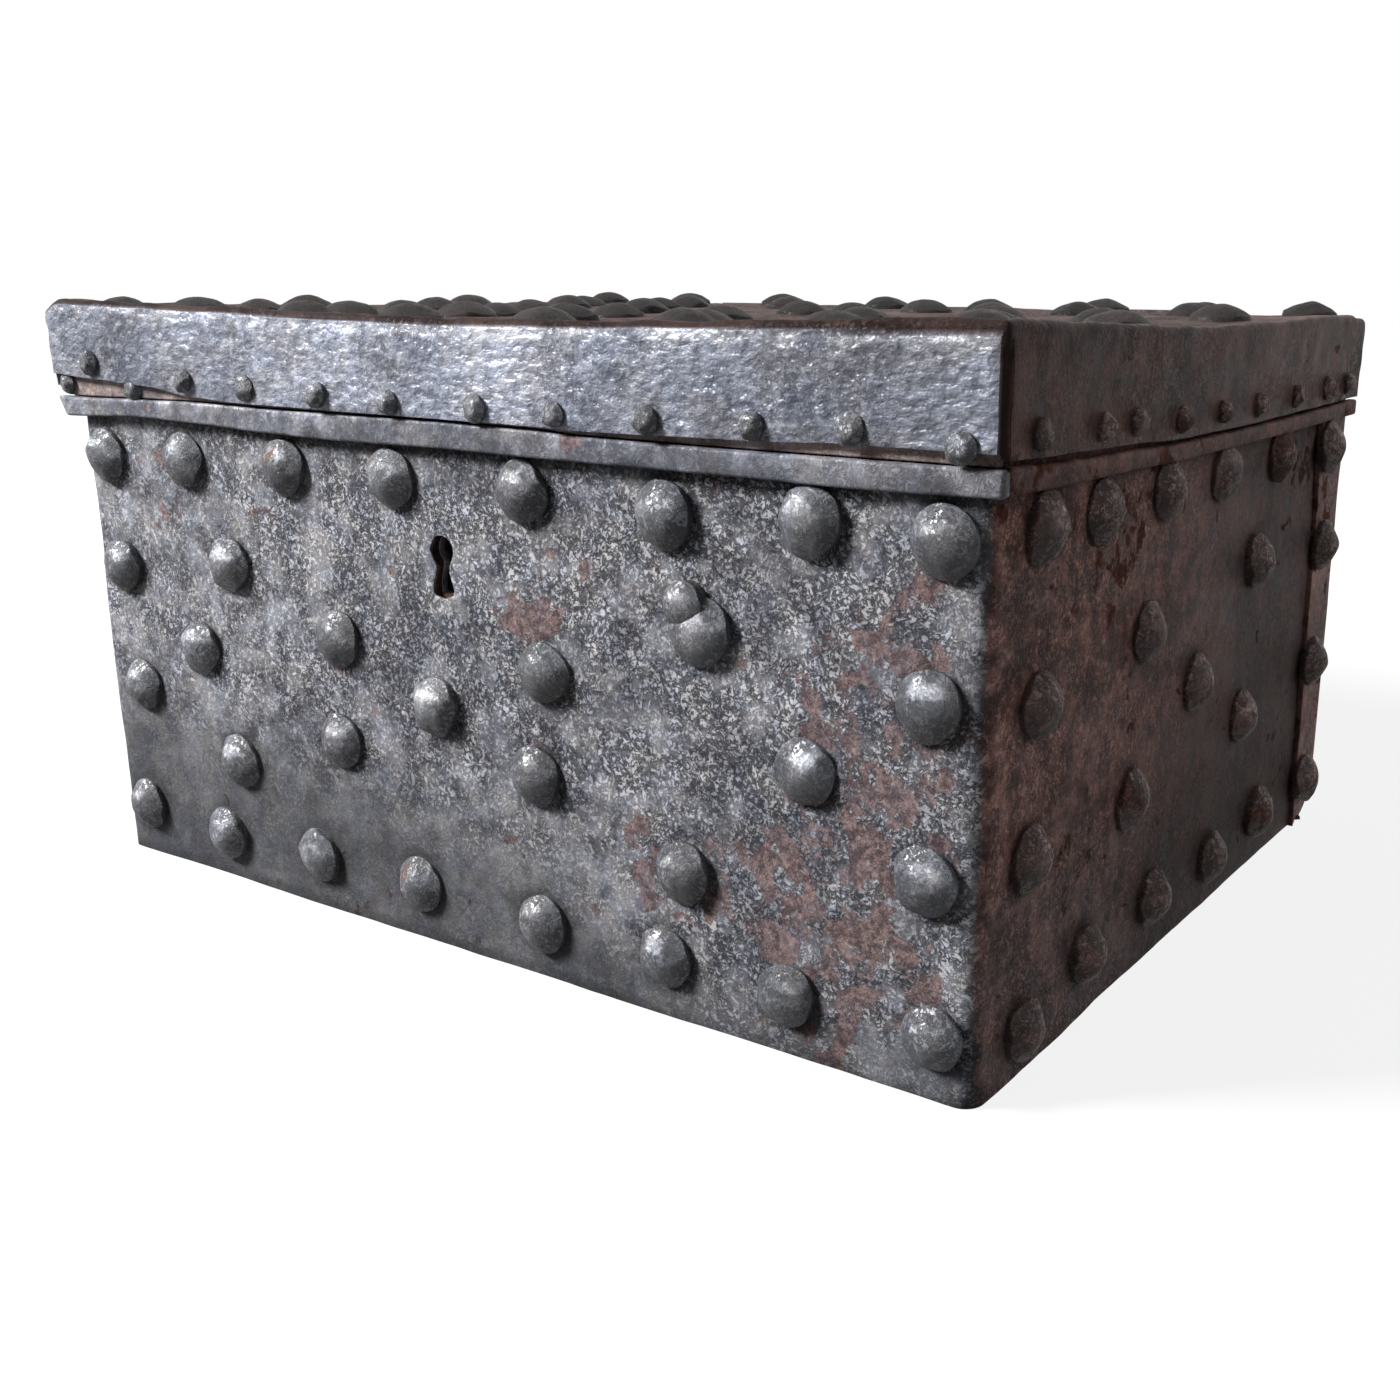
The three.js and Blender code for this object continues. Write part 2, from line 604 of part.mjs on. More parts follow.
function bodyPieces() {
  const wrapInset = sheetThickness + wrapRearGap;
  const wrapPlan = bentPlan(halfWidth, -halfDepth, halfDepth - wrapInset, sheetThickness, sheetBendOuter);
  const standing = prism(wrapPlan, 'z', 0, bodyTop).intersect(insideRearFoot(wrapInset, 0, seatGap));
  let wrap = standing.subtract(keyhole);
  wrap = studded(wrap, frontStudShares, 'front', onFront);
  wrap = studded(wrap, rightStudShares, 'right', onRight);
  wrap = studded(wrap, leftStudShares, 'left', onLeft);
  addPiece('body_wrap_sheet', drilled('body_wrap_sheet', wrap), bodyIron());

  const flangeFront = halfDepth - flangeTopWidth;
  const backHalf = halfWidth + flangeOuter;
  const outer = prism(roundedPlan(backHalf, 0, halfDepth, flangeBendOuter), 'z', 0, flangeTop)
    .intersect(insideRearFoot(0, 0, 0));
  const innerPlan = roundedPlan(
    backHalf - sheetThickness, -overrun, halfDepth - sheetThickness, flangeBendInner);
  const room = prism(innerPlan, 'z', -overrun, bodyTop)
    .intersect(insideRearFoot(sheetThickness, -overrun, 0));
  const ahead = prism(outline([
    [-overrun, -overrun],
    [halfDepth - flangeFootWidth, -overrun],
    [halfDepth - flangeFootWidth, 0],
    [flangeFront, flangeTop],
    [flangeFront, bodyTop],
    [-overrun, bodyTop],
  ]), 'x', -backHalf - overrun, backHalf + overrun);
  const lower = outer.subtract(room).subtract(ahead);
  const upper = block([-halfWidth, halfDepth - sheetThickness, flangeTop], [halfWidth, halfDepth, bodyTop]);
  let back = lower.add(upper);
  for (const [shares, from, to] of backFields(studRadius)) {
    back = studded(back, shares, 'back', ([u, v]) => [from + u * (to - from), halfDepth, upWall(v)]);
  }
  addPiece('back_plate', drilled('back_plate', back), bodyIron());

  const trayHalf = halfWidth - liningOuter;
  const trayFront = -halfDepth + liningOuter;
  const trayBack = halfDepth - liningOuter;
  const trayRadius = bottomBendInner + bottomThickness;
  const trayOuter = prism(roundedPlan(trayHalf, trayFront, trayBack, trayRadius), 'z', 0, bottomEdgeHeight)
    .intersect(insideRearFoot(liningOuter, 0, seatGap));
  const roomPlan = roundedPlan(
    trayHalf - bottomThickness, trayFront + bottomThickness, trayBack - bottomThickness, bottomBendInner);
  const trayInner = prism(roomPlan, 'z', bottomThickness, bottomEdgeHeight + overrun)
    .intersect(insideRearFoot(liningOuter + bottomThickness, bottomThickness, seatGap + bottomThickness));
  addPiece('bottom_plate', drilled('bottom_plate', trayOuter.subtract(trayInner)), liningIron());
}

function linings() {
  const frontHalf = halfWidth - sheetBendOuter - seatGap;
  const front = block(
    [-frontHalf, -halfDepth + liningOuter, liningFoot],
    [frontHalf, -halfDepth + liningInner, liningTop]);
  addPiece('front_lining', drilled('front_lining', front.subtract(keyhole)), liningIron());
  const sideFront = -halfDepth + sheetBendOuter + seatGap;
  const sideBack = halfDepth - liningOuter;
  const right = block(
    [halfWidth - liningInner, sideFront, liningFoot],
    [halfWidth - liningOuter, sideBack, liningTop]);
  addPiece('right_lining', drilled('right_lining', right), liningIron());
  const left = block(
    [-halfWidth + liningOuter, sideFront, liningFoot],
    [-halfWidth + liningInner, sideBack, liningTop]);
  addPiece('left_lining', drilled('left_lining', left), liningIron());
  const backHalf = halfWidth - liningInner - seatGap;
  const back = block(
    [-backHalf, halfDepth - liningInner, liningFoot],
    [backHalf, halfDepth - liningOuter, liningTop]);
  addPiece('back_lining', drilled('back_lining', back), liningIron());
}

function rimBands() {
  const outerX = halfWidth + bandOuter;
  const innerX = halfWidth + bandInner;
  const outerY = halfDepth + bandOuter;
  const innerY = halfDepth + bandInner;
  addPiece('rim_band_front', block([-outerX, -outerY, bandFoot], [outerX, -innerY, bandTop]), bandIron());
  const sideFront = -innerY + seatGap;
  addPiece('rim_band_right', block([innerX, sideFront, bandFoot], [outerX, outerY, bandTop]), bandIron());
  addPiece('rim_band_left', block([-outerX, sideFront, bandFoot], [-innerX, outerY, bandTop]), bandIron());
  const hingeNear = hingeSpacing / 2 - hingeHalfWidth - bandHingeGap;
  const hingeFar = hingeSpacing / 2 + hingeHalfWidth + bandHingeGap;
  const endX = innerX - seatGap;
  addPiece('rim_band_back_left', block([-endX, innerY, bandFoot], [-hingeFar, outerY, bandTop]), bandIron());
  const backMiddle = block([-hingeNear, innerY, bandFoot], [hingeNear, outerY, bandTop]);
  addPiece('rim_band_back_middle', backMiddle, bandIron());
  addPiece('rim_band_back_right', block([hingeFar, innerY, bandFoot], [endX, outerY, bandTop]), bandIron());
}

function lidPieces() {
  const innerX = lidHalfWidth - lidThickness;
  const innerY = lidHalfDepth - lidThickness;
  const outer = block([-lidHalfWidth, -lidHalfDepth, skirtFoot], [lidHalfWidth, lidHalfDepth, lidTop]);
  const hollow = block([-innerX, -innerY, skirtFoot - overrun], [innerX, innerY, lidUnderside]);
  let lid = outer.subtract(hollow);
  for (const way of [-1, 1]) {
    for (const end of [-1, 1]) {
      const xs = [way * (innerX - overrun), way * (lidHalfWidth + overrun)].sort((a, b) => a - b);
      const ys = [end * (innerY - cornerSlit), end * innerY].sort((a, b) => a - b);
      lid = lid.subtract(block([xs[0], ys[0], skirtFoot - overrun], [xs[1], ys[1], lidTop - cornerSlitLeft]));
    }
  }
  lid = studded(lid, lidStudShares, 'up', onLid);
  const rivetZ = skirtFoot + skirtRivetRadius + skirtRivetMargin;
  for (const share of frontRivetShares) {
    lid = lid.add(skirtRivet('front', [(share - 0.5) * bodyWidth, -lidHalfDepth, rivetZ]));
  }
  const backRivetShares = [backEndRivetShares, backMiddleRivetShares, backEndRivetShares];
  clearWidths(skirtRivetRadius, halfWidth).forEach(([from, to], i) => {
    for (const share of backRivetShares[i]) {
      lid = lid.add(skirtRivet('back', [from + share * (to - from), lidHalfDepth, rivetZ]));
    }
  });
  for (const share of sideRivetShares) {
    const y = (share - 0.5) * bodyDepth;
    lid = lid.add(skirtRivet('right', [lidHalfWidth, y, rivetZ]));
    lid = lid.add(skirtRivet('left', [-lidHalfWidth, y, rivetZ]));
  }
  addPiece('lid_sheet', drilled('lid_sheet', lid), lidIron());

  const liningX = innerX - seatGap;
  const liningY = innerY - seatGap;
  const lining = block([-liningX, -liningY, lidLiningFoot], [liningX, liningY, lidLiningTop]);
  addPiece('lid_lining', drilled('lid_lining', lining), liningIron());

  const stripOuterX = halfWidth + lidClearance + stripThickness;
  const stripInnerX = halfWidth + lidClearance;
  const stripOuterY = halfDepth + lidClearance + stripThickness;
  const stripInnerY = halfDepth + lidClearance;
  const stripTop = stripFoot + stripHeight;
  const sideY = stripInnerY - seatGap;
  const strips = [
    ['front', [-stripOuterX, -stripOuterY], [stripOuterX, -stripInnerY]],
    ['back', [-stripOuterX, stripInnerY], [stripOuterX, stripOuterY]],
    ['right', [stripInnerX, -sideY], [stripOuterX, sideY]],
    ['left', [-stripOuterX, -sideY], [-stripInnerX, sideY]],
  ];
  for (const [side, low, high] of strips) {
    addPiece(`skirt_strip_${side}`, block([...low, stripFoot], [...high, stripTop]), stripIron());
  }
}

// Side view of an eye with its bore, reached from its strap by the given points
function eyeOutline(before, startAngle, endAngle, after) {
  const shape = new THREE.Shape();
  before.forEach(([u, v], i) => (i === 0 ? shape.moveTo(u, v) : shape.lineTo(u, v)));
  shape.absarc(pinY, pinZ, eyeRadius, startAngle, endAngle, false);
  after.forEach(([u, v]) => shape.lineTo(u, v));
  shape.closePath();
  const bore = new THREE.Path();
  bore.absarc(pinY, pinZ, boreRadius, 0, Math.PI * 2, true);
  shape.holes.push(bore);
  return shape;
}

// Body strap: a plate on the back, cranked out round the band to two eyes, with a step for the heel
function bodyStrap(x) {
  const inner = halfDepth + seatGap;
  const crankInnerZ = pinZ - bodyStrapCrankRise;
  const lean = THREE.MathUtils.degToRad(eyeLeanAngle);
  const side = eyeOutline(
    [[inner, bodyStrapFoot], [bodyStrapFace, bodyStrapFoot], [bodyStrapFace, bodyStrapBend]],
    -lean, Math.PI + lean, [[inner, crankInnerZ]]);
  const strap = prism(side, 'x', x - hingeHalfWidth, x + hingeHalfWidth, eyeSteps);
  const slotTop = pinZ + eyeRadius + overrun;
  const slotBack = pinY + eyeRadius + overrun;
  const slot = block(
    [x - slotHalfWidth, inner - overrun, pinZ - eyeRadius - heelStepGap],
    [x + slotHalfWidth, slotBack, slotTop]);
  const heelRoom = block(
    [x - slotHalfWidth, pinY - heelFaceSetback, pinZ - heelReach - heelFloorGap],
    [x + slotHalfWidth, slotBack, slotTop]);
  return strap.subtract(slot).subtract(heelRoom);
}

// Lid strap: a plate on the back skirt, one eye, and a heel that meets the step when the lid is open
function lidStrap(x) {
  const half = lidEyeWidth / 2;
  const plateFoot = pinZ + eyeRadius + lidStrapGap;
  const neckTop = plateFoot + lidStrapNeck;
  const plate = block(
    [x - hingeHalfWidth, lidStrapInner, plateFoot],
    [x + hingeHalfWidth, lidStrapFace, lidStrapTop]);
  const side = eyeOutline(
    [[lidStrapInner, neckTop]], Math.PI, Math.PI * 2.5, [[lidStrapFace, neckTop]]);
  const eye = prism(side, 'x', x - half, x + half, eyeSteps);
  const heelAngle = THREE.MathUtils.degToRad(lidOpenAngle - 90);
  const heelRoot = boreRadius + eyeWall / 2;
  const across = heelThickness / 2;
  const heelPoints = [[heelRoot, -across], [heelReach, -across], [heelReach, across], [heelRoot, across]];
  const heel = outline(heelPoints.map(([r, t]) => [
    pinY + r * Math.cos(heelAngle) - t * Math.sin(heelAngle),
    pinZ + r * Math.sin(heelAngle) + t * Math.cos(heelAngle),
  ]));
  return plate.add(eye).add(prism(heel, 'x', x - half, x + half));
}

// Pin: a headed rod through the three eyes, peened at the far end
function hingePin(x) {
  const reach = hingeHalfWidth + seatGap;
  const profile = [
    [0, -reach - pinTailLength],
    [pinRadius + pinTailLip, -reach - pinTailLength],
    [pinRadius + pinTailLip, -reach],
    [pinRadius, -reach],
    [pinRadius, reach],
    [pinRadius + pinHeadLip, reach],
    [pinRadius + pinHeadLip, reach + pinHeadLength],
    [0, reach + pinHeadLength],
  ];
  return turned(profile, 'right', [x, pinY, pinZ], eyeSteps * 2);
}

function hinges() {
  for (const [side, x] of hingeSides) {
    const bodyName = `hinge_body_strap_${side}`;
    const lidName = `hinge_lid_strap_${side}`;
    addPiece(bodyName, drilled(bodyName, bodyStrap(x)), hingeIron());
    addPiece(lidName, drilled(lidName, lidStrap(x)), hingeIron());
    addPiece(`hinge_pin_${side}`, hingePin(x), hingeIron());
  }
}

function lockPlate() {
  const plate = block(
    [lockPlateLeft, lockPlateOuterY, lockPlateFoot],
    [lockPlateRight, lockPlateInnerY, lockPlateTop]);
  addPiece('lock_plate', drilled('lock_plate', plate.subtract(keyhole)), lockSteel());
}

// Bolt: a plate with a talon notch below, cranked back from the lock plate to a nose
function lockBolt() {
  const crankX = keyX + boltCrankStart;
  const noseX = crankX + boltCrankLength;
  const talonX = keyX - boltThrow / 2;
  const body = outline([
    [keyX - boltTail, boltFoot],
    [talonX - talonWidth / 2, boltFoot],
    [talonX - talonWidth / 2, boltFoot + talonDepth],
    [talonX + talonWidth / 2, boltFoot + talonDepth],
    [talonX + talonWidth / 2, boltFoot],
    [crankX, boltFoot],
    [noseX, noseFoot],
    [noseX, boltTop],
    [keyX - boltTail, boltTop],
  ]);
  const plate = prism(body, 'y', boltFrontY, boltBackY);
  const crank = block([crankX, boltFrontY, noseFoot], [noseX, noseBackY, boltTop]);
  const nose = block([crankX, noseFrontY, noseFoot], [noseTip, noseBackY, boltTop]);
  addPiece('lock_bolt', plate.add(crank).add(nose), lockSteel());
}

// Guide: a bridge over the bolt, its two legs peened into the lock plate
function boltGuide(x) {
  const low = boltFoot - seatGap;
  const high = boltTop + seatGap;
  const near = boltBackY + seatGap;
  const far = near + guideThickness;
  const side = outline([
    [boltFrontY, low - guideLegHeight],
    [far, low - guideLegHeight],
    [far, high + guideLegHeight],
    [boltFrontY, high + guideLegHeight],
    [boltFrontY, high],
    [near, high],
    [near, low],
    [boltFrontY, low],
  ]);
  return prism(side, 'x', x - guideWidth / 2, x + guideWidth / 2);
}

// Ward: a collar round the key axis, open below for the key's bit
function wardRing() {
  const start = THREE.MathUtils.degToRad(wardGapAngle / 2) - Math.PI / 2;
  const end = Math.PI - start;
  const radius = boltFootRise - wardGap;
  const shape = new THREE.Shape();
  shape.absarc(keyX, keyAxisHeight, radius, start, end, false);
  shape.absarc(keyX, keyAxisHeight, radius - wardThickness, end, start, true);
  shape.closePath();
  return prism(shape, 'y', boltFrontY, boltFrontY + wardLength, ringSteps);
}

// Key bridge: a plate on two legs, with a hole that takes the key's tip
function lockCap() {
  const half = guideRightOffset - guideWidth / 2 - capGuideGap;
  const far = boltFrontY + capDepth;
  const plan = outline([
    [keyX - half, boltFrontY],
    [keyX - half + capThickness, boltFrontY],
    [keyX - half + capThickness, far],
    [keyX + half - capThickness, far],
    [keyX + half - capThickness, boltFrontY],
    [keyX + half, boltFrontY],
    [keyX + half, far + capThickness],
    [keyX - half, far + capThickness],
  ]);
  const bridge = prism(plan, 'z', keyAxisHeight - capDrop, boltFoot - capBoltGap);
  const tip = new THREE.Shape();
  tip.absarc(keyX, keyAxisHeight, keyTipRadius, 0, Math.PI * 2, false);
  return bridge.subtract(prism(tip, 'y', far - overrun, far + capThickness + overrun, eyeSteps));
}

// Back spring: a leaf from a peened foot, bowed down to press on the bolt's top edge
function backSpring() {
  const footX = keyX - springFootOffset;
  const footFoot = boltTop + springFootRise;
  const bendX = keyX + springTip;
  const touch = boltTop + seatGap;
  const leafX = footX + springFootWidth;
  const leafZ = footFoot + springThickness;
  const middleX = (leafX + bendX) / 2;
  const tipX = bendX + springTipLength;
  const shape = new THREE.Shape();
  shape.moveTo(footX, footFoot);
  shape.lineTo(leafX, footFoot);
  shape.quadraticCurveTo(middleX, touch, bendX, touch);
  shape.lineTo(tipX, touch + springTipLift);
  shape.lineTo(tipX, touch + springTipLift + springThickness);
  shape.lineTo(bendX, touch + springThickness);
  shape.quadraticCurveTo(middleX, touch + springThickness, leafX, leafZ);
  shape.lineTo(leafX, footFoot + springFootHeight);
  shape.lineTo(footX, footFoot + springFootHeight);
  shape.closePath();
  return prism(shape, 'y', boltFrontY, boltFrontY + springWidth, eyeSteps);
}

// Staple: a foot under the lid's lining and a shank down to the eye that takes the bolt's nose
function lidStaple() {
  const side = outline([
    [stapleFrontY, stapleFoot],
    [stapleBackY, stapleFoot],
    [stapleBackY, staplePlateFoot + overrun],
    [stapleFrontY, staplePlateFoot + overrun],
  ]);
  const eye = outline([
    [stapleEyeFrontY, stapleEyeFoot],
    [stapleEyeBackY, stapleEyeFoot],
    [stapleEyeBackY, stapleEyeTop],
    [stapleEyeFrontY, stapleEyeTop],
  ]);
  const shank = prism(side, 'x', stapleLeft, stapleRight);
  const through = prism(eye, 'x', stapleLeft - overrun, stapleRight + overrun);
  const foot = block(
    [stapleCentreX - stapleFootWidth / 2, stapleFrontY, staplePlateFoot],
    [stapleCentreX + stapleFootWidth / 2, stapleFrontY + stapleFootDepth, stapleSeat]);
  return shank.subtract(through).add(foot);
}

function lock() {
  lockPlate();
  lockBolt();
  addPiece('bolt_guide_left', boltGuide(keyX - guideLeftOffset), lockSteel());
  addPiece('bolt_guide_right', boltGuide(keyX + guideRightOffset), lockSteel());
  addPiece('ward_ring', wardRing(), lockSteel());
  addPiece('lock_cap', lockCap(), lockSteel());
  addPiece('back_spring', backSpring(), lockSteel());
  addPiece('lid_staple', drilled('lid_staple', lidStaple()), lockSteel());
}

function looseRivets() {
  for (const one of rivets) {
    const solid = rivet(one.heading, one.place, one.grip, one.radius, one.height, one.sides);
    addPiece(one.name, solid, rivetIron());
  }
}

bodyPieces();
linings();
rimBands();
lidPieces();
hinges();
lock();
looseRivets();

export default strongbox;
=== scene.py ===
# The looks of the riveted iron strongbox. Lengths are in millimetres until a mesh is made.
# Front faces -Y, the lid turns about its rear edge, and the bolt is drawn back at rest.
# Tones are values painted on a piece's points. "front" is 1 where the iron is grey, as on the
# front, and 0 where it is brown; "pitted", "rust" and the wear and grime tones say how much
# there is of each. The wear tone also holds a painted highlight on the heads' upper sides, and the
# grime tone holds painted shade as well as grime: under and round the heads, on and below the
# bands, in the lid's fold and seams and towards the right side's rear and foot. "own" gives every
# head a shade of its own.

import math

import bmesh
import bpy
import numpy as np
from mathutils import Matrix, Vector


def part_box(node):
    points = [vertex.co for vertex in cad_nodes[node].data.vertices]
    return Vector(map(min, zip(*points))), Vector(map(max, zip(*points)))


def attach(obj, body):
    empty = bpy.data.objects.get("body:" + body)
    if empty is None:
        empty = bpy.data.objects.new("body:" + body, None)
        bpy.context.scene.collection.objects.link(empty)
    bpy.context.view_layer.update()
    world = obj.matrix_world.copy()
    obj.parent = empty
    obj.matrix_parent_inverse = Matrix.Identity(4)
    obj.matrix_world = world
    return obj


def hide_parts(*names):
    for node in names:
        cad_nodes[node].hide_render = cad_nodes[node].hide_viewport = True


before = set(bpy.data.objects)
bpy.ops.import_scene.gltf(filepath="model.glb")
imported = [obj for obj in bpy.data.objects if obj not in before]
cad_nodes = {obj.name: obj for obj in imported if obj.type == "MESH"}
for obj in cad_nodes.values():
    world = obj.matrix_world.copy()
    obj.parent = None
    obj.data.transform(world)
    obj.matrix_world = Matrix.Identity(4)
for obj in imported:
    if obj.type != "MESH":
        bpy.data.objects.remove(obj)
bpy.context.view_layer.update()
METRE = 1000.0

# Sizes of the box
HALF_WIDTH = 193.0
HALF_DEPTH = 154.0
BODY_TOP = 195.0
BAND_FOOT = 172.0
BAND_TOP = 181.0
LID_HALF_WIDTH = 198.0
LID_HALF_DEPTH = 159.0
LID_TOP = 212.0
SKIRT_FOOT = 183.1
FLANGE_FACE = 195.3
FLANGE_TOP = 171.7
REAR_FOOT_RADIUS = 20.0
REAR_BEND_Y = HALF_DEPTH - REAR_FOOT_RADIUS
INNER_FOOT_RADIUS = 17.0
FLOOR_GAP = 0.15
SHEET = 2.0
LID_SHEET = 2.2
STUD_STAND = 4.0
STUD_SHAPE = 10.4 / 7.0
SHOULDER_X = 32.526
STRIP_TOP = 200.5
# Inner and outer distance from the face, and the corners' radius
BAND_SECTION = (0.3, 4.4, 1.1)
STRIP_SECTION = (0.8, 2.5, 0.6)
# Radius and height of the head, and radius of the shank
FLANGE_RIVET = (10.5, 7.3, 2.3)
HINGE_RIVET = (5.0, 3.3, 2.3)
LOCK_RIVET = (4.0, 2.7, 2.3)
KEY_X, KEY_Z = -3.474, 133.0

# Edges that run unevenly: places along the edge, and its level at each
BAND_TOP_FRONT = ([-198, -185, -148, -116, -80, 0, 40, 60, 118, 198],
                  [179.8, 179.7, 180.3, 180.8, 180.4, 180.5, 180.1, 179.2, 178.9, 179.0])
BAND_FOOT_FRONT = ([-198, -149, -117, -82, -50, 0, 53, 118, 151, 198],
                   [172.5, 174.0, 173.4, 172.3, 171.8, 172.2, 171.8, 171.6, 171.2, 171.8])
BAND_TOP_RIGHT = ([0, 34, 60, 130, 214, 312], [179.2, 177.7, 176.7, 174.9, 174.6, 175.4])
BAND_FOOT_RIGHT = ([0, 60, 131, 214, 312], [171.7, 170.6, 169.3, 169.0, 169.3])
BAND_TOP_LEFT = ([0, 60, 180, 312], [179.9, 180.3, 179.8, 180.0])
BAND_FOOT_LEFT = ([0, 100, 312], [172.4, 171.6, 171.2])
SKIRT_FOOT_FRONT = ([-198, -173, -146, -115, -95, -20, 30, 60, 119, 152, 198],
                    [188.1, 186.9, 185.6, 182.8, 181.9, 181.6, 181.5, 181.1, 181.8, 182.9, 182.9])
SKIRT_FOOT_RIGHT = ([-159, -127, -96, -26, 34, 108, 145, 159],
                    [181.4, 180.0, 178.9, 176.3, 175.8, 176.6, 176.6, 176.4])
LID_FRONT = ([-198, -160, -107, -43, 15, 50, 105, 140, 185, 198],
             [215.2, 214.5, 213.5, 212.7, 211.8, 212.0, 212.8, 214.0, 215.1, 215.2])
LID_BACK = ([-198, 0, 198], [208.4, 209.0, 207.4])
LID_RIGHT = ([-159, -106, -68, -37, 4, 53, 103, 140, 159],
             [215.2, 213.0, 211.4, 209.8, 209.0, 209.0, 209.3, 208.6, 207.4])
LID_LEFT = ([-159, -110, -40, 60, 159], [215.2, 212.6, 210.6, 209.6, 208.4])
FOLD_LINE = ([-198, -160, -107, -43, 15, 50, 105, 150, 198],
             [213.9, 213.6, 212.3, 210.8, 210.3, 210.6, 211.5, 212.1, 212.3])
FRONT_SKIRT_RIVETS = np.array([
    [-190.8, 184.4], [-173.4, 192.6], [-153.3, 183.8], [-119.9, 188.3], [-87.5, 187.1],
    [-51.3, 186.5], [-17.6, 185.6], [20.2, 185.5], [52.0, 185.4], [86.6, 185.4], [122.7, 186.0],
    [153.6, 186.8], [186.1, 183.9]])


# ---- uneven fields and outlines ----

def ripple(points, length, seed, waves=16):
    """An uneven field of unit size: the sum of sine waves of about one length, each in its own
    direction and phase, over the root of half their number."""
    rng = np.random.default_rng(seed)
    ways = rng.normal(size=(waves, 3))
    ways /= np.linalg.norm(ways, axis=1)[:, None]
    turns = 2 * np.pi / (length * rng.uniform(0.7, 1.5, waves))
    phases = rng.uniform(0, 2 * np.pi, waves)
    return np.sin(points @ (ways * turns[:, None]).T + phases).sum(-1) / math.sqrt(waves / 2)


def smooth_step(low, high, value):
    """0 below low, 1 above high, and 3t^2 - 2t^3 between them."""
    t = np.clip((value - low) / (high - low), 0, 1)
    return t * t * (3 - 2 * t)


def soft_patch(points, centre, reach, seed):
    """1 at the centre and 0 past the reach: the distance from the centre, counted in reaches and
    roughened by a field, through a smooth step."""
    away = np.linalg.norm((points - np.array(centre)) / np.array(reach), axis=-1)
    rough = away + 0.175 * ripple(points, float(min(reach)) * 0.9, seed)
    return 1 - smooth_step(0.55, 1.05, rough)


def eased_line(places, values, at):
    """A level along an edge: smooth steps from each measured place to the next."""
    places, values = np.asarray(places, float), np.asarray(values, float)
    k = np.clip(np.searchsorted(places, at, side="right") - 1, 0, len(places) - 2)
    t = np.clip((at - places[k]) / (places[k + 1] - places[k]), 0, 1)
    return values[k] + (values[k + 1] - values[k]) * t * t * (3 - 2 * t)


def edge_line(edge, start=0.0, lift=0.0):
    """An uneven edge's level as a function of the distance along a bar that begins at start."""
    def line(at):
        return eased_line(*edge, at + start) + lift
    return line


def level_line(value, amount=0.0, seed=0):
    """A straight edge with a slight waver, as a function of the distance along a bar."""
    def line(at):
        spots = np.stack([at, 0 * at, 0 * at + seed], -1)
        return value + amount * np.clip(ripple(spots, 55, seed), -1.2, 1.2)
    return line


# ---- meshes ----

def grid_faces(rows, columns, first=0, closed_rows=False, closed_columns=False):
    """Quads over a grid of points numbered row by row. A quad faces along d/drow x d/dcolumn."""
    r = np.arange(rows if closed_rows else rows - 1)
    c = np.arange(columns if closed_columns else columns - 1)
    r, c = np.meshgrid(r, c, indexing="ij")
    r2, c2 = (r + 1) % rows, (c + 1) % columns
    corners = [r * columns + c, r2 * columns + c, r2 * columns + c2, r * columns + c2]
    return np.stack(corners, -1).reshape(-1, 4) + first


def place_piece(name, mesh, material, body, replaced):
    """An object of a mesh, on its body and in the place of CAD nodes."""
    mesh.materials.clear()
    mesh.materials.append(material)
    mesh.polygons.foreach_set("use_smooth", np.ones(len(mesh.polygons), bool))
    piece = bpy.data.objects.new(name, mesh)
    bpy.context.scene.collection.objects.link(piece)
    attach(piece, body)
    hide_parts(*replaced)
    return piece


def make_piece(name, points, faces, material, body, replaced, tones=None):
    """An object from points in millimetres and faces, with its named tones kept as point values."""
    mesh = bpy.data.meshes.new(name)
    mesh.from_pydata((np.asarray(points) / METRE).tolist(), [],
                     [list(map(int, face)) for face in faces])
    for label, values in (tones or {}).items():
        kept = mesh.attributes.new(label, "FLOAT", "POINT")
        kept.data.foreach_set("value", np.asarray(values, np.float32))
    mesh.update()
    return place_piece(name, mesh, material, body, replaced)


def ease(piece, width, angle=50):
    """Eases every edge sharper than an angle."""
    bevel = piece.modifiers.new("eased_edges", "BEVEL")
    bevel.width = width / METRE
    bevel.segments = 2
    bevel.limit_method = "ANGLE"
    bevel.angle_limit = math.radians(angle)


def thicken(piece, thickness, edge=0.35, even=True):
    """Gives an open sheet its thickness, inwards, and eases its cut edges."""
    wall = piece.modifiers.new("thickness", "SOLIDIFY")
    wall.thickness = thickness / METRE
    wall.offset = -1
    wall.use_even_offset = even
    ease(piece, edge)


def joined(parts):
    """Joins (points, faces, tones) parts: faces are a list of number arrays."""
    points, faces, tones, first = [], [], {}, 0
    names = sorted({name for part in parts for name in part[2]})
    for part_points, part_faces, part_tones in parts:
        points.append(part_points)
        faces += [f + first for f in part_faces]
        for name in names:
            tones.setdefault(name, []).append(
                part_tones.get(name, np.zeros(len(part_points))))
        first += len(part_points)
    rows = [row for f in faces for row in f.tolist()]
    return np.concatenate(points), rows, {n: np.concatenate(v) for n, v in tones.items()}


# ---- hammered heads ----

def mesh_points(mesh):
    """A mesh's points as rows of three, in its own units."""
    points = np.empty(len(mesh.vertices) * 3, np.float32)
    mesh.vertices.foreach_get("co", points)
    return points.reshape(-1, 3)


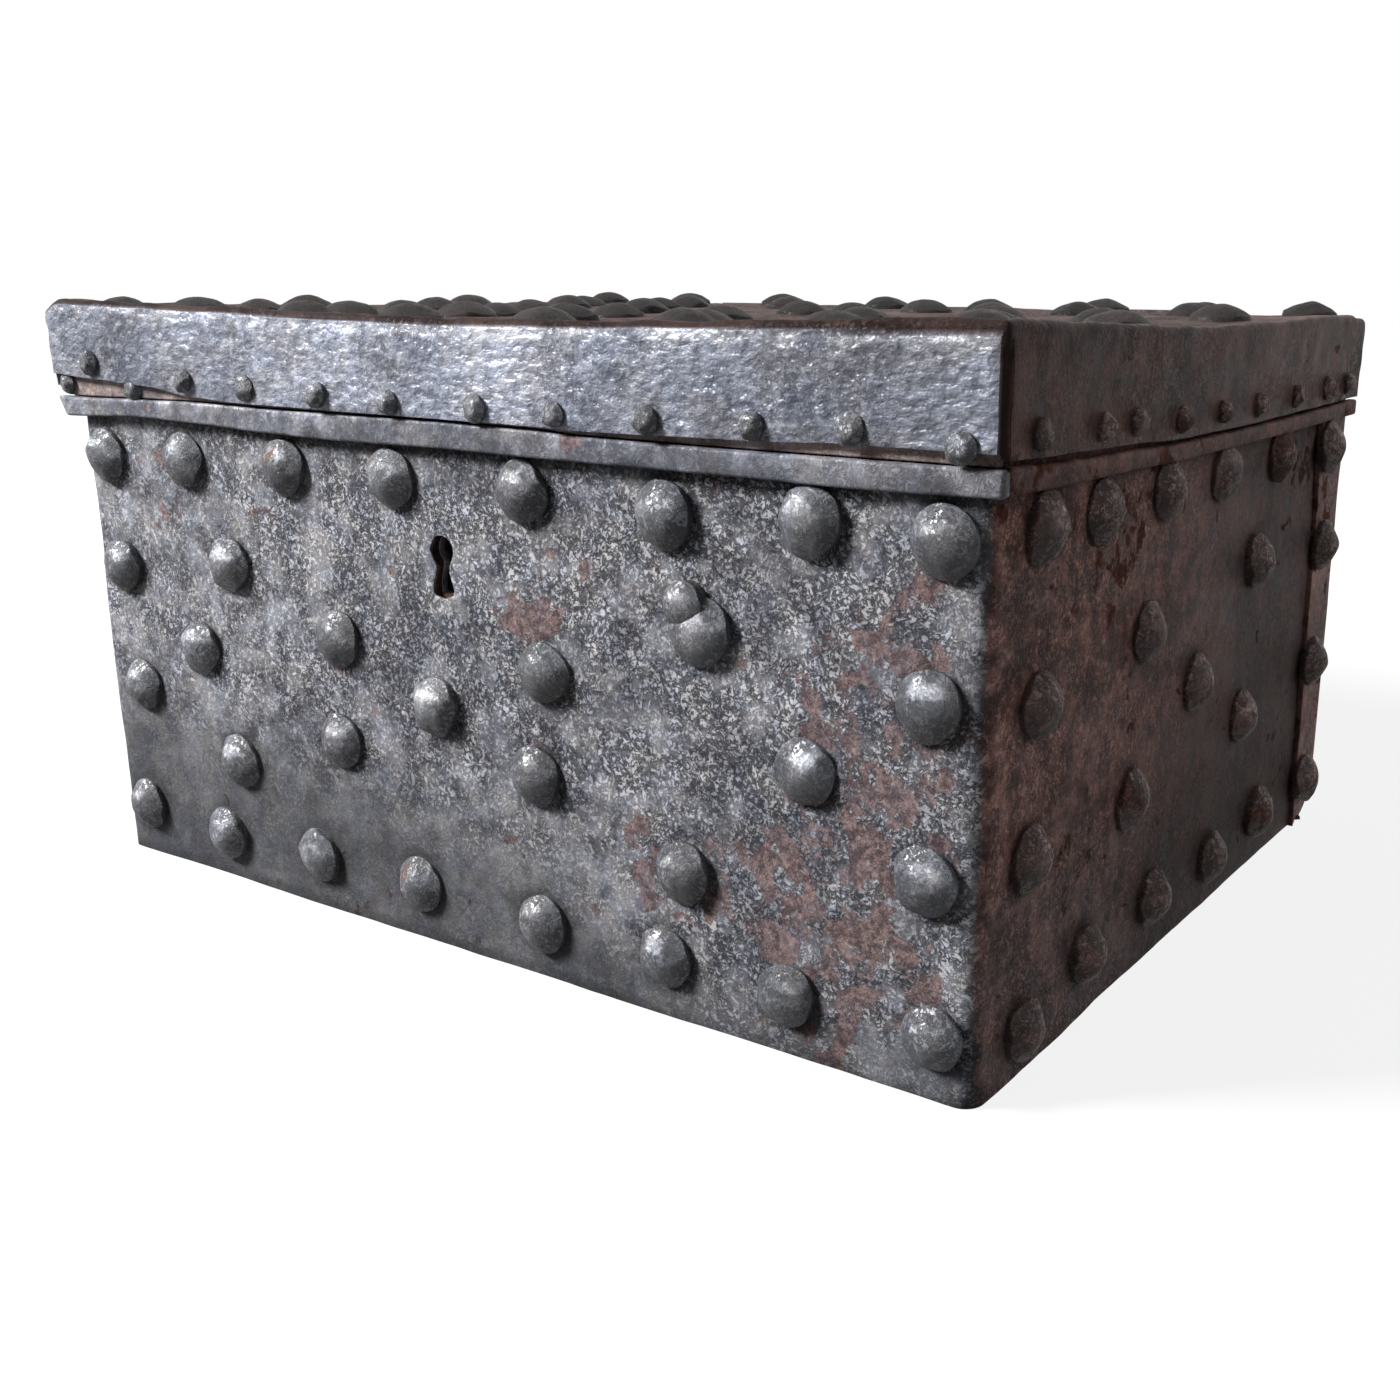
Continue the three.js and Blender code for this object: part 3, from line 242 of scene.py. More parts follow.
def crowns(node, axis, way, face, stand, apart):
    """Crowns of the heads on one face of a CAD piece: the points that stand at least so far off the
    face, taken from the furthest out, each dropping the others that lie near it."""
    points = mesh_points(cad_nodes[node].data).astype(float) * METRE
    height = points[:, axis] * way - face
    points, height = points[height > stand], height[height > stand]
    found = []
    while len(points):
        top = int(np.argmax(height))
        found.append((*points[top], height[top]))
        flat = np.delete(points - points[top], axis, 1)
        far = np.linalg.norm(flat, axis=1) > apart
        points, height = points[far], height[far]
    found = np.array(found)
    found[:, axis] = face * way
    return found[:, :3], found[:, 3]


def head_outlines(rng, count, turn):
    """Outlines of unit reach that follow 1 + a cos 2t + b cos 3t + c cos 5t."""
    sizes = [rng.uniform(0.0, k, (count, 1)) for k in (0.045, 0.035, 0.02)]
    phases = [rng.uniform(0, 2 * np.pi, (count, 1)) for _ in range(3)]
    rim = 1 + sum(a * np.cos(k * turn - p) for k, a, p in zip((2, 3, 5), sizes, phases))
    return rim / rim.max(1, keepdims=True)


def facet_planes(rng, count, facets):
    """Planes that touch a dome whose height at a share r of its radius is
    0.45 sqrt(1 - r^2) + 0.55 (1 - r^2): one near the crown, and one or two rings further out.
    Returns where they touch, their slopes and their levels there."""
    share = [np.full((count, 1), 0.12) + rng.uniform(0, 0.14, (count, 1))]
    turn = [rng.normal(2.3, 0.7, (count, 1))]
    for at, amount in zip((0.46, 0.80) if len(facets) == 2 else (0.80,), facets):
        share.append(at + rng.uniform(-0.07, 0.05, (count, amount)))
        even = np.arange(amount) / amount * 2 * np.pi
        turn.append(even + rng.uniform(0, 2 * np.pi, (count, 1))
                    + rng.uniform(-0.4, 0.4, (count, amount)))
    share, turn = np.concatenate(share, 1), np.concatenate(turn, 1)
    touch = np.stack([np.cos(turn), np.sin(turn)], -1) * share[..., None]
    stand = 0.45 * np.sqrt(1 - share ** 2) + 0.55 * (1 - share ** 2)
    slope = -touch * (0.45 / np.sqrt(1 - share ** 2) + 1.1)[..., None]
    level = stand + rng.uniform(-0.025, 0.025, stand.shape)
    level[:, 0] -= 0.15 * (len(facets) == 1)
    return touch, slope, level


def hammered_heads(places, out, up, radii, heights, seed, facets=(5, 9), soft=0.4,
                   rings=12, sides=36, root=0.7, undercut=0.045, least=0.12):
    """Hammered rivet heads. Each is the lowest of its facet planes, blended by
    z = -s log(sum(exp(-z_k / s))) and leant a little, over its outline. The edge drops as a short
    upright wall to the root below the face. Returns points, faces and three tones: how high a
    point lies on its head, how far up its face, and a tone of its own for each head."""
    rng = np.random.default_rng(seed)
    count = len(places)
    turn = np.arange(sides) / sides * 2 * np.pi
    share = np.sin(np.linspace(0, np.pi / 2, rings + 1))[1:]
    share = share / share[-1]
    reach = head_outlines(rng, count, turn)[:, None, :] * share[None, :, None]
    flat = np.stack([reach * np.cos(turn), reach * np.sin(turn)], -1)
    flat = np.concatenate([np.zeros((count, 1, 2)), flat.reshape(count, -1, 2)], 1)
    touch, slope, level = facet_planes(rng, count, facets)
    planes = level[:, None, :] + np.einsum("npk,nmk->npm", flat, slope) \
        - np.einsum("nmk,nmk->nm", touch, slope)[:, None, :]
    blend = soft / np.mean(heights)
    rise = -blend * np.log(np.exp(-planes / blend).sum(-1))
    rise = rise / rise.max(1, keepdims=True)
    lean = rng.uniform(-0.22, 0.22, (count, 2)) * 0.5
    rise = rise * (1 + np.einsum("npk,nk->np", flat, lean))
    rise = np.maximum(rise / rise.max(1, keepdims=True), least)
    radii = np.asarray(radii, float).reshape(-1, 1)
    heights = np.asarray(heights, float).reshape(-1, 1)
    rise = rise * heights
    wall = slice(1 + (rings - 1) * sides, 1 + rings * sides)
    top_in, root_in = 1 - undercut / 3, 1 - undercut
    across, along = (np.concatenate([v, v[:, wall] * top_in, v[:, wall] * root_in], 1)
                     for v in (flat[..., 0] * radii, flat[..., 1] * radii))
    rise = np.concatenate([rise, rise[:, wall] * 0.55, np.full((count, sides), -root)], 1)
    out, up = np.asarray(out, float), np.asarray(up, float)
    points = (np.asarray(places)[:, None, :] + across[..., None] * np.cross(up, out)
              + along[..., None] * up + rise[..., None] * out).reshape(-1, 3)
    dents = 0.05 * ripple(points, 4.0, seed + 1) * (rise.reshape(-1) > 0.3)
    points = points + dents[:, None] * out
    each = 1 + (rings + 2) * sides
    k = np.arange(sides)
    fan = np.stack([np.zeros(sides, int), 1 + k, 1 + (k + 1) % sides], -1)
    ring_faces = grid_faces(rings + 2, sides, 1, closed_columns=True)
    first = (np.arange(count) * each)[:, None, None]
    faces = [(ring_faces + first).reshape(-1, 4), (fan + first).reshape(-1, 3)]
    high = (np.clip(rise, 0, None) / heights).reshape(-1)
    own = np.repeat(rng.uniform(0, 1, count), each)
    return points, faces, {"high": high, "own": own, "upper": (along / radii).reshape(-1)}


def stud_tones(points, tones, front, wear=0.34, rust=0.16, seed=31):
    """Tones of a group of heads: upper sides brighter, part wear and part painted highlight; roots
    darker, part grime and part painted shade; undersides darker with painted shade; and rust in
    long patches."""
    high, upper = tones["high"], tones.pop("upper")
    tones["front"] = np.full(len(points), front)
    # The upper side of each head is painted brighter: part wear and part a painted highlight.
    worn = smooth_step(-0.1, 0.5, upper) * smooth_step(0.3, 0.8, high)
    tones["wear"] = np.clip(wear + 0.52 * worn - 0.16, 0, 1)
    # Darker roots are grime and painted shade; the darker underside is painted shade.
    tones["grime"] = np.maximum(0.55 * (1 - smooth_step(0.0, 0.22, high)),
                                0.80 * smooth_step(-0.30, 0.55, -upper))
    tones["rust"] = np.clip(rust + 0.12 * ripple(points, 60, seed), 0, 1)
    return tones


def studs_on(name, node, slot, body, places, stands, out, up, front, seed, material,
             wear=0.34, rust=0.16, lift=1.04, widths=1.0, **shape):
    """Dome heads seated on the places of a CAD piece's studs."""
    rng = np.random.default_rng(seed)
    radii = stands * STUD_SHAPE * rng.uniform(0.97, 1.02, len(stands)) * widths
    heights = stands * lift * rng.uniform(0.93, 1.06, len(stands))
    points, faces, tones = hammered_heads(places, out, up, radii, heights, seed, **shape)
    tones = stud_tones(points, tones, front, wear, rust, seed)
    points, rows, tones = joined([(points, faces, tones)])
    return make_piece(name, points, rows, material, body, (node,), tones)


def near_heads(points, places, radii, flat):
    """How deep each point lies in the darkening round the heads, part grime and part painted shade:
    exp(-gap / 1.5 mm) to the nearest head, counted over the two axes of its face."""
    gap = np.full(len(points), 99.0)
    for place, radius in zip(places, radii):
        away = np.linalg.norm(points[:, flat] - place[list(flat)], axis=1) - radius
        gap = np.minimum(gap, np.abs(away))
    return np.exp(-gap / 1.5)


# ---- finishes ----

class Level:
    """A value that a shader node gives out. Sums and products of levels make maths nodes."""

    def __init__(self, node, name=0):
        self.socket = node.outputs[name]

    def maths(self, how, first, second=0.0):
        return Level(put(self.socket.id_data, "ShaderNodeMath", {0: first, 1: second},
                         operation=how))

    def __add__(self, other):
        return self.maths("ADD", self, other)

    def __sub__(self, other):
        return self.maths("SUBTRACT", self, other)

    def __rsub__(self, other):
        return self.maths("SUBTRACT", other, self)

    def __mul__(self, other):
        return self.maths("MULTIPLY", self, other)

    def __abs__(self):
        return self.maths("ABSOLUTE", self)

    def at_least(self, other):
        return self.maths("MAXIMUM", self, other)

    def held(self):
        """Holds the result between 0 and 1."""
        self.socket.node.use_clamp = True
        return self


def feed(node, sockets):
    """Gives a node's inputs values or other nodes' levels."""
    for name, value in sockets.items():
        if isinstance(value, Level):
            node.id_data.links.new(value.socket, node.inputs[name])
        else:
            node.inputs[name].default_value = value


def put(tree, kind, sockets=None, **settings):
    """Adds a node, sets it and feeds its inputs."""
    made = tree.nodes.new(kind)
    for name, value in settings.items():
        setattr(made, name, value)
    feed(made, sockets or {})
    return made


def noise(place, scale, detail=3.0, roughness=0.55, distortion=0.0):
    sockets = {"Vector": place, "Scale": scale, "Detail": detail, "Roughness": roughness,
               "Distortion": distortion}
    return Level(put(place.socket.id_data, "ShaderNodeTexNoise", sockets))


def step(value, low, high, start=0.0, end=1.0):
    """A smooth step of a value from one level to another."""
    sockets = {"Value": value, "From Min": low, "From Max": high, "To Min": start, "To Max": end}
    return Level(put(value.socket.id_data, "ShaderNodeMapRange", sockets,
                     interpolation_type="SMOOTHSTEP"))


def mixed(amount, first, second, how="MIX"):
    tree = next(v for v in (amount, first, second) if isinstance(v, Level)).socket.id_data
    return Level(put(tree, "ShaderNodeMix", {0: amount, 6: first, 7: second}, data_type="RGBA",
                     blend_type=how), 2)


def effect(name, inputs, outputs):
    """A new node group: its tree, its inputs as levels by name, and the node of its outputs."""
    tree = bpy.data.node_groups.new(name, "ShaderNodeTree")
    kinds = {"c": "NodeSocketColor", "f": "NodeSocketFloat", "v": "NodeSocketVector"}
    for way, sockets in (("INPUT", inputs), ("OUTPUT", outputs)):
        for label, kind in sockets:
            tree.interface.new_socket(label, in_out=way, socket_type=kinds[kind])
    taken, given = tree.nodes.new("NodeGroupInput"), tree.nodes.new("NodeGroupOutput")
    return tree, {label: Level(taken, label) for label, _ in inputs}, given


def worm_pitting():
    """Eroded iron: short worm-like grooves where one noise crosses its middle, and round pits where
    another falls low, both stronger in some places than in others."""
    tree, taken, given = effect(
        "worm_pitting", [("Place", "v"), ("Fineness", "f"), ("Amount", "f")], [("Pits", "f")])
    place, fineness = taken["Place"], taken["Fineness"]
    worms = noise(place, fineness * 330.0, 5.0, 0.62, 0.6)
    grooves = step(abs(worms - 0.5), 0.016, 0.058, 1.0, 0.0)
    pits = step(noise(place, fineness * 560.0, 6.0, 0.72, 0.2), 0.41, 0.505, 1.0, 0.0)
    broad = step(noise(place, 70.0, 4.0, 0.65), 0.38, 0.60)
    strength = (taken["Amount"] * (broad * 0.6 + 0.62)).held()
    feed(given, {"Pits": ((grooves * 0.95).at_least(pits) * strength).held()})
    return tree


def flaking_rust():
    """Rust that has flaked with hard edges: a painted amount broken up by two noises, and a colour
    that runs from dark to light rust."""
    tree, taken, given = effect(
        "flaking_rust", [("Place", "v"), ("Amount", "f"), ("Dark Rust", "c"), ("Light Rust", "c")],
        [("Flake", "f"), ("Colour", "c")])
    place = taken["Place"]
    ragged = noise(place, 95.0, 8.0, 0.66, 0.3)
    spots = noise(place, 380.0, 3.0, 0.6)
    feed(given, {
        "Flake": step(taken["Amount"] + (ragged - 0.5) * 1.7, 0.47, 0.56),
        "Colour": mixed(step(spots, 0.36, 0.66), taken["Dark Rust"], taken["Light Rust"])})
    return tree


def hammer_marks():
    """Shallow overlapping hammer dents: the smoothed distance to the nearest of some points."""
    tree, taken, given = effect("hammer_marks", [("Place", "v")], [("Relief", "f")])
    place = taken["Place"]
    swirl = put(tree, "ShaderNodeTexNoise", {"Vector": place, "Scale": 60.0, "Detail": 2.0})
    bent = put(tree, "ShaderNodeVectorMath",
               {0: Level(swirl, "Color"), 1: (0.008, 0.008, 0.008)}, operation="MULTIPLY")
    moved = put(tree, "ShaderNodeVectorMath", {0: place, 1: Level(bent)}, operation="ADD")
    dents = put(tree, "ShaderNodeTexVoronoi",
                {"Vector": Level(moved), "Scale": 170.0, "Smoothness": 0.55}, feature="SMOOTH_F1")
    feed(given, {"Relief": Level(dents, "Distance")})
    return tree


COLOURS = ("Dark Patina", "Light Patina", "Pit", "Worn", "Dark Rust", "Light Rust")
AMOUNTS = {"Fineness": 1.0, "Pitting": 0.0, "Wear": ("wear", 0.0, 1.0), "Rust": ("rust", 0.0, 1.0),
           "Grime": ("grime", 0.0, 1.0), "Hammering": 0.10, "Peel": 0.10, "Polish": 0.0,
           "Bareness": 0.0, "Tone": 1.0}


def old_iron():
    """Old bare iron: a patina of two tones, pits, worn bright places, rust flakes and grime, with
    the roughness, metal share and relief in millimetres that go with them. The worn places also
    carry the painted highlight on the heads' upper sides, and the grime also carries painted shade."""
    tree, have, given = effect(
        "old_iron", [("Place", "v")] + [(c, "c") for c in COLOURS] + [(a, "f") for a in AMOUNTS],
        [("Colour", "c"), ("Roughness", "f"), ("Metal", "f"), ("Relief", "f")])
    place = have["Place"]
    middle, grain = noise(place, 115.0, 5.0, 0.62), noise(place, 1500.0, 3.0, 0.6)
    patina = step(middle * 0.65 + noise(place, 24.0, 3.0, 0.6) * 0.35, 0.39, 0.61)
    colour = mixed(patina, have["Dark Patina"], have["Light Patina"])
    pits = Level(put(tree, "ShaderNodeGroup", {"Place": place, "Fineness": have["Fineness"],
                                               "Amount": have["Pitting"]},
                     node_tree=worm_pitting()), "Pits")
    colour = mixed(pits * 0.90, colour, have["Pit"])
    worn = step(have["Wear"] + (middle - 0.5) * 1.1, 0.45, 0.95) * (1.0 - pits * 0.55)
    colour = mixed(worn, colour, have["Worn"])
    drawn = put(tree, "ShaderNodeVectorMath", {0: place, 1: (0.60, 0.60, 1.0)},
                operation="MULTIPLY")
    peel = noise(Level(drawn), 400.0, 2.2, 0.55, 0.12)
    ridges, hollows = (step(peel, 0.50, end) * have["Peel"] for end in (0.66, 0.36))
    colour = mixed((ridges * 0.24).held(), colour, have["Worn"])
    colour = mixed((hollows * 0.30).held(), colour, have["Pit"])
    rust = put(tree, "ShaderNodeGroup",
               {"Place": place, "Amount": have["Rust"], "Dark Rust": have["Dark Rust"],
                "Light Rust": have["Light Rust"]}, node_tree=flaking_rust())
    flake = Level(rust, "Flake")
    colour = mixed(flake * 0.93, colour, Level(rust, "Colour"))
    dirt_and_painted_shade = (have["Grime"] * (middle * 0.6 + 0.62)).held()
    shade = (1.0 - dirt_and_painted_shade * 0.86) * (step(grain, 0.35, 0.7, 0.86, 1.12) * have["Tone"])
    drift = step(noise(place, 85.0, 4.0, 0.6), 0.40, 0.60)
    hue = mixed(drift, (1.03, 1.0, 0.96, 1), (0.975, 0.995, 1.035, 1))
    shaded = put(tree, "ShaderNodeVectorMath", {0: mixed(1.0, colour, hue, "MULTIPLY"),
                                                "Scale": shade}, operation="SCALE")
    rough = pits * 0.22 + flake * 0.34 + middle * 0.24 + dirt_and_painted_shade * 0.15 - worn * 0.16 + 0.34
    bare = have["Bareness"]
    metal = bare * (1.0 - pits * 0.8) + worn * (bare + 0.05)
    marks = put(tree, "ShaderNodeGroup", {"Place": place}, node_tree=hammer_marks())
    relief = Level(marks, "Relief") * have["Hammering"] - pits * 0.36 - flake * 0.10 \
        + grain * 0.035 + middle * 0.16 + peel * (have["Peel"] * 1.25)
    feed(given, {"Colour": Level(shaded), "Roughness": (rough - have["Polish"]).held(),
                 "Metal": (metal * (1.0 - flake)).held(), "Relief": relief})
    return tree


IRON = old_iron()


def linear(rgb):
    """A colour written as sRGB levels of 0 to 255, turned into linear light."""
    c = np.array(rgb) / 255
    return (*np.where(c <= 0.04045, c / 12.92, ((c + 0.055) / 1.055) ** 2.4).tolist(), 1.0)


def iron_finish(name, colours, specular=0.06, **amounts):
    """A material of old iron. Colours follow COLOURS: each is an sRGB triple, or two, of which the
    painted tone "front" leads from the first to the second. An amount is a number, or a tone's name
    with the amounts where the tone is 0 and 1; what isn't given is as in AMOUNTS."""
    material = bpy.data.materials.new(name)
    material.use_nodes = True
    tree = material.node_tree
    tree.nodes.clear()

    def painted(label):
        return Level(put(tree, "ShaderNodeAttribute", attribute_name=label), "Fac")

    sockets = {"Place": Level(put(tree, "ShaderNodeTexCoord"), "Object")}
    for socket, colour in zip(COLOURS, colours):
        if isinstance(colour[0], tuple):
            sockets[socket] = mixed(painted("front"), *map(linear, colour))
        else:
            sockets[socket] = linear(colour)
    for socket, amount in {**AMOUNTS, **{k.capitalize(): v for k, v in amounts.items()}}.items():
        if isinstance(amount, tuple):
            label, low, high = amount
            amount = painted(label) * (high - low) + low
        sockets[socket] = amount
    iron = put(tree, "ShaderNodeGroup", sockets, node_tree=IRON)
    bump = put(tree, "ShaderNodeBump", {"Height": Level(iron, "Relief"), "Strength": 1.0,
                                        "Distance": 1 / METRE})
    shader = put(tree, "ShaderNodeBsdfPrincipled", {
        "Base Color": Level(iron, "Colour"), "Roughness": Level(iron, "Roughness"),
        "Metallic": Level(iron, "Metal"), "Normal": Level(bump, "Normal"),
        "Specular IOR Level": specular})
    put(tree, "ShaderNodeOutputMaterial", {"Surface": Level(shader)})
    return material


RUST_PAIR = ((72, 52, 48), (126, 92, 80))
PALE_DARK_RUST = (86, 72, 74)
PALE_RUST = (134, 115, 114)

SHEET_IRON = iron_finish(
    "sheet_iron",
    [((80, 58, 53), (116, 117, 123)), ((192, 148, 138), (172, 172, 177)),
     ((28, 19, 18), (22, 23, 32)), ((128, 108, 100), (192, 193, 199)),
     ((58, 38, 34), PALE_DARK_RUST), ((106, 64, 50), PALE_RUST)],
    fineness=1.08, pitting=("pitted", 0.0, 1.15), peel=("front", 0.05, 0.22),
    bareness=("front", 0.0, 0.10))
STUD_IRON = iron_finish(
    "stud_iron",
    [((42, 33, 32), (68, 70, 77)), ((82, 62, 58), (134, 135, 142)), ((20, 17, 17), (22, 22, 28)),
     ((132, 116, 110), (222, 223, 229)), *RUST_PAIR],
    0.55, fineness=1.05, pitting=0.95, peel=0.12, polish=("front", 0.0, 0.02),
    bareness=("front", 0.0, 0.04), tone=("own", 0.84, 1.10))
SIDE_STUD_IRON = iron_finish(
    "side_stud_iron",
    [(82, 64, 61), (152, 124, 118), (30, 24, 23), (176, 156, 150), *RUST_PAIR],
    0.25, fineness=1.05, pitting=0.95, peel=0.12, tone=("own", 0.84, 1.10))
LID_STUD_IRON = iron_finish(
    "lid_stud_iron",
    [(24, 20, 19), (46, 37, 34), (12, 10, 10), (78, 72, 68), (40, 26, 24), (74, 46, 40)],
    0.2, fineness=1.3, pitting=0.5, wear=0.12, rust=0.24, grime=("grime", 0.0, 0.5),
    bareness=0.02, tone=("own", 0.8, 1.15))
LID_IRON = iron_finish(
    "lid_iron",
    [((46, 33, 30), (120, 123, 134)), ((104, 78, 73), (150, 153, 164)),
     ((30, 24, 23), (58, 60, 71)), ((110, 100, 92), (205, 208, 217)),
     ((60, 42, 38), PALE_DARK_RUST), ((104, 76, 64), (140, 122, 118))],
    fineness=0.9, pitting=("pitted", 0.0, 1.0), hammering=0.16, peel=("front", 0.12, 1.0),
    polish=("front", 0.04, 0.10), bareness=("front", 0.0, 0.20))
BAND_IRON = iron_finish(
    "band_iron",
    [((62, 41, 37), (92, 93, 100)), ((140, 104, 95), (142, 143, 150)), (40, 37, 40),
     ((126, 108, 100), (182, 184, 192)), ((60, 40, 35), PALE_DARK_RUST),
     ((116, 74, 60), PALE_RUST)],
    fineness=0.9, pitting=0.40, hammering=0.08, peel=0.12, bareness=("front", 0.0, 0.10))
# Strips coloured paler than their iron: painted light where the skirt's shadow falls on them.
STRIP_IRON_PAINTED_LIGHT = iron_finish(
    "strip_iron",
    [(124, 112, 109), (180, 164, 160), (70, 56, 54), (176, 158, 152), (84, 58, 54),
     (140, 104, 96)],
    pitting=0.35, wear=0.10, rust=0.30, grime=0.05, hammering=0.05, bareness=0.05)
LINING_IRON = iron_finish(
    "lining_iron",
    [(58, 44, 40), (96, 74, 66), (34, 26, 25), (124, 106, 98), RUST_PAIR[0], (88, 62, 54)],
    fineness=0.7, pitting=0.5, wear=0.0, rust=0.36, grime=0.12, hammering=0.06, bareness=0.05)
HINGE_IRON = iron_finish(
    "hinge_iron",
    [(60, 55, 56), (106, 100, 100), (36, 32, 33), (164, 160, 160), *RUST_PAIR],
    fineness=0.9, pitting=0.4, wear=0.28, rust=0.22, grime=0.1, hammering=0.16, peel=0.15,
    bareness=0.25)
LOCK_STEEL = iron_finish(
    "lock_steel",
    [(86, 84, 84), (140, 138, 138), (54, 48, 46), (190, 190, 192), *RUST_PAIR],
    0.5, fineness=1.2, pitting=0.3, wear=0.35, rust=0.16, grime=0.06, hammering=0.03, peel=0.0,
    polish=0.05, bareness=0.45)


# ---- the body ----

def keyhole_reach(angles):
    """How far the keyhole's edge lies from its middle at each angle: a round head over a waist that
    flares to a foot, with a worn notch at the head's left."""
    turn = np.radians(np.linspace(-50, 230, 60))
    head = np.stack([5.1 * np.cos(turn), 6.0 + 5.1 * np.sin(turn)], -1)
    left = np.array([[-3.0, 1.6], [-2.7, -0.2], [-3.2, -2.2], [-4.5, -4.9], [-4.9, -8.0],
                     [-3.9, -8.7]])
    right = np.array([[4.0, -8.5], [4.8, -7.9], [4.4, -4.7], [3.3, -2.4], [2.9, -0.3], [3.1, 1.7]])
    edge = np.concatenate([head, left, right])
    at = np.arctan2(edge[:, 1], edge[:, 0])
    order = np.argsort(at)
    reach = np.hypot(edge[:, 0], edge[:, 1])[order]
    found = np.interp(angles, at[order], reach, period=2 * np.pi)
    notch = np.exp(-((angles - 2.35) / 0.13) ** 2)
    rough = 0.16 * np.sin(7 * angles + 1) + 0.10 * np.sin(13 * angles + 2.2)
    return found + 1.2 * notch + rough


FRONT_HEADS, FRONT_STANDS = crowns("body_wrap_sheet", 1, -1, HALF_DEPTH, STUD_STAND, 6)
RIGHT_HEADS, RIGHT_STANDS = crowns("body_wrap_sheet", 0, 1, HALF_WIDTH, STUD_STAND, 6)
LEFT_HEADS, LEFT_STANDS = crowns("body_wrap_sheet", 0, -1, HALF_WIDTH, STUD_STAND, 6)
BACK_HEADS, BACK_STANDS = crowns("back_plate", 1, 1, HALF_DEPTH, STUD_STAND, 6)
LID_HEADS, LID_STANDS = crowns("lid_sheet", 2, 1, LID_TOP, STUD_STAND, 6)

# Two heads on the front overlap: the smallest, and the one nearest to it
PAIR_SMALL = int(np.argmin(FRONT_STANDS))
PAIR_BIG = int(np.argsort(np.linalg.norm(FRONT_HEADS - FRONT_HEADS[PAIR_SMALL], axis=1))[1])
FRONT_HEADS[PAIR_SMALL] += (1.1, 0.0, -3.9)
FRONT_HEADS[PAIR_BIG] += (1.7, 0.0, 0.0)


def rust_on_front(p):
    """Painted rust on the front: big flakes low on the right, and smaller ones in the middle."""
    amount = 0.17 + 0.10 * ripple(p, 40, 16)
    for share, (x, z), (wide, tall), seed in (
            (0.62, (160, 92), (44, 62), 11), (0.60, (150, 40), (52, 44), 12),
            (0.58, (30, 120), (24, 15), 13), (0.52, (92, 50), (40, 26), 14),
            (0.40, (-150, 150), (22, 24), 15)):
        patch = soft_patch(p, (x, -HALF_DEPTH, z), (wide, 99, tall), seed)
        amount = np.maximum(amount, 0.88 * share * patch)
    return amount


def smooth_on_front(p):
    """Where the front is smooth plain metal: low on the left and along the foot."""
    low = 1 - smooth_step(22, 78, p[:, 2] + 0.10 * p[:, 0])
    foot = 1 - smooth_step(8, 24, p[:, 2])
    return np.clip(low * (1 - smooth_step(20, 120, p[:, 0])) + 0.5 * foot, 0, 1)


SIDE_STATIONS, BEND_STATIONS, FRONT_STATIONS, WALL_LEVELS = 100, 8, 139, 77
BEND_RADIUS = 6.0


def wall_plan():
    """Stations round the plan: left side, bend, front, bend, right side. Returns their x and y and
    the way out at each."""
    side = np.linspace(151, -148, SIDE_STATIONS)
    flat_x, flat_y = HALF_WIDTH - BEND_RADIUS, HALF_DEPTH - BEND_RADIUS
    arc = np.linspace(0, np.pi / 2, BEND_STATIONS + 2)[1:-1]
    ahead, aside = BEND_RADIUS * np.sin(arc), BEND_RADIUS * np.cos(arc)
    along_side, along_front = np.ones(SIDE_STATIONS), np.ones(FRONT_STATIONS)
    x = np.concatenate([-HALF_WIDTH * along_side, -flat_x - aside,
                        np.linspace(-flat_x, flat_x, FRONT_STATIONS), flat_x + ahead,
                        HALF_WIDTH * along_side])
    y = np.concatenate([side, -flat_y - ahead, -HALF_DEPTH * along_front, -flat_y - aside,
                        side[::-1]])
    out_x = np.concatenate([-along_side, -np.cos(arc), 0 * along_front, np.sin(arc), along_side])
    out_y = np.concatenate([0 * along_side, -np.sin(arc), -along_front, -np.cos(arc),
                            0 * along_side])
    return x, y, np.stack([out_x, out_y, 0 * out_x], -1)


def cut_keyhole(points, faces, x, z):
    """Takes a window out of the front's grid and fills it with rings of quads that lead from the
    window's edge to the keyhole's, where they dip inwards a little."""
    start = SIDE_STATIONS + BEND_STATIONS
    i0, i1 = np.searchsorted(x[start:start + FRONT_STATIONS], [KEY_X - 9.5, KEY_X + 9.0]) + start
    j0, j1 = np.searchsorted(z[start], [KEY_Z - 12.5, KEY_Z + 14.5])
    row, column = np.divmod(faces[:, 0], WALL_LEVELS)
    faces = faces[~((row >= i0) & (row < i1) & (column >= j0) & (column < j1))]
    loop = [(i, j0) for i in range(i0, i1)] + [(i1, j) for j in range(j0, j1)]
    loop += [(i, j1) for i in range(i1, i0, -1)] + [(i0, j) for j in range(j1, j0, -1)]
    outer = np.array([i * WALL_LEVELS + j for i, j in loop])
    window = points[outer]
    from_key = window[:, [0, 2]] - (KEY_X, KEY_Z)
    angles = np.arctan2(from_key[:, 1], from_key[:, 0])
    hole = np.stack([np.cos(angles), np.sin(angles)], -1) * keyhole_reach(angles)[:, None]
    rings, wide, quads = [points], outer, [faces]
    for k, share in enumerate((0.4, 0.72, 0.9, 1.0)):
        at = from_key * (1 - share) + hole * share
        depth = window[:, 1] + 0.28 * share ** 4
        rings.append(np.stack([KEY_X + at[:, 0], depth, KEY_Z + at[:, 1]], -1))
        narrow = len(points) + k * len(outer) + np.arange(len(outer))
        quads.append(np.stack([wide, np.roll(wide, -1), np.roll(narrow, -1), narrow], -1))
        wide = narrow
    return np.concatenate(rings), np.concatenate(quads)


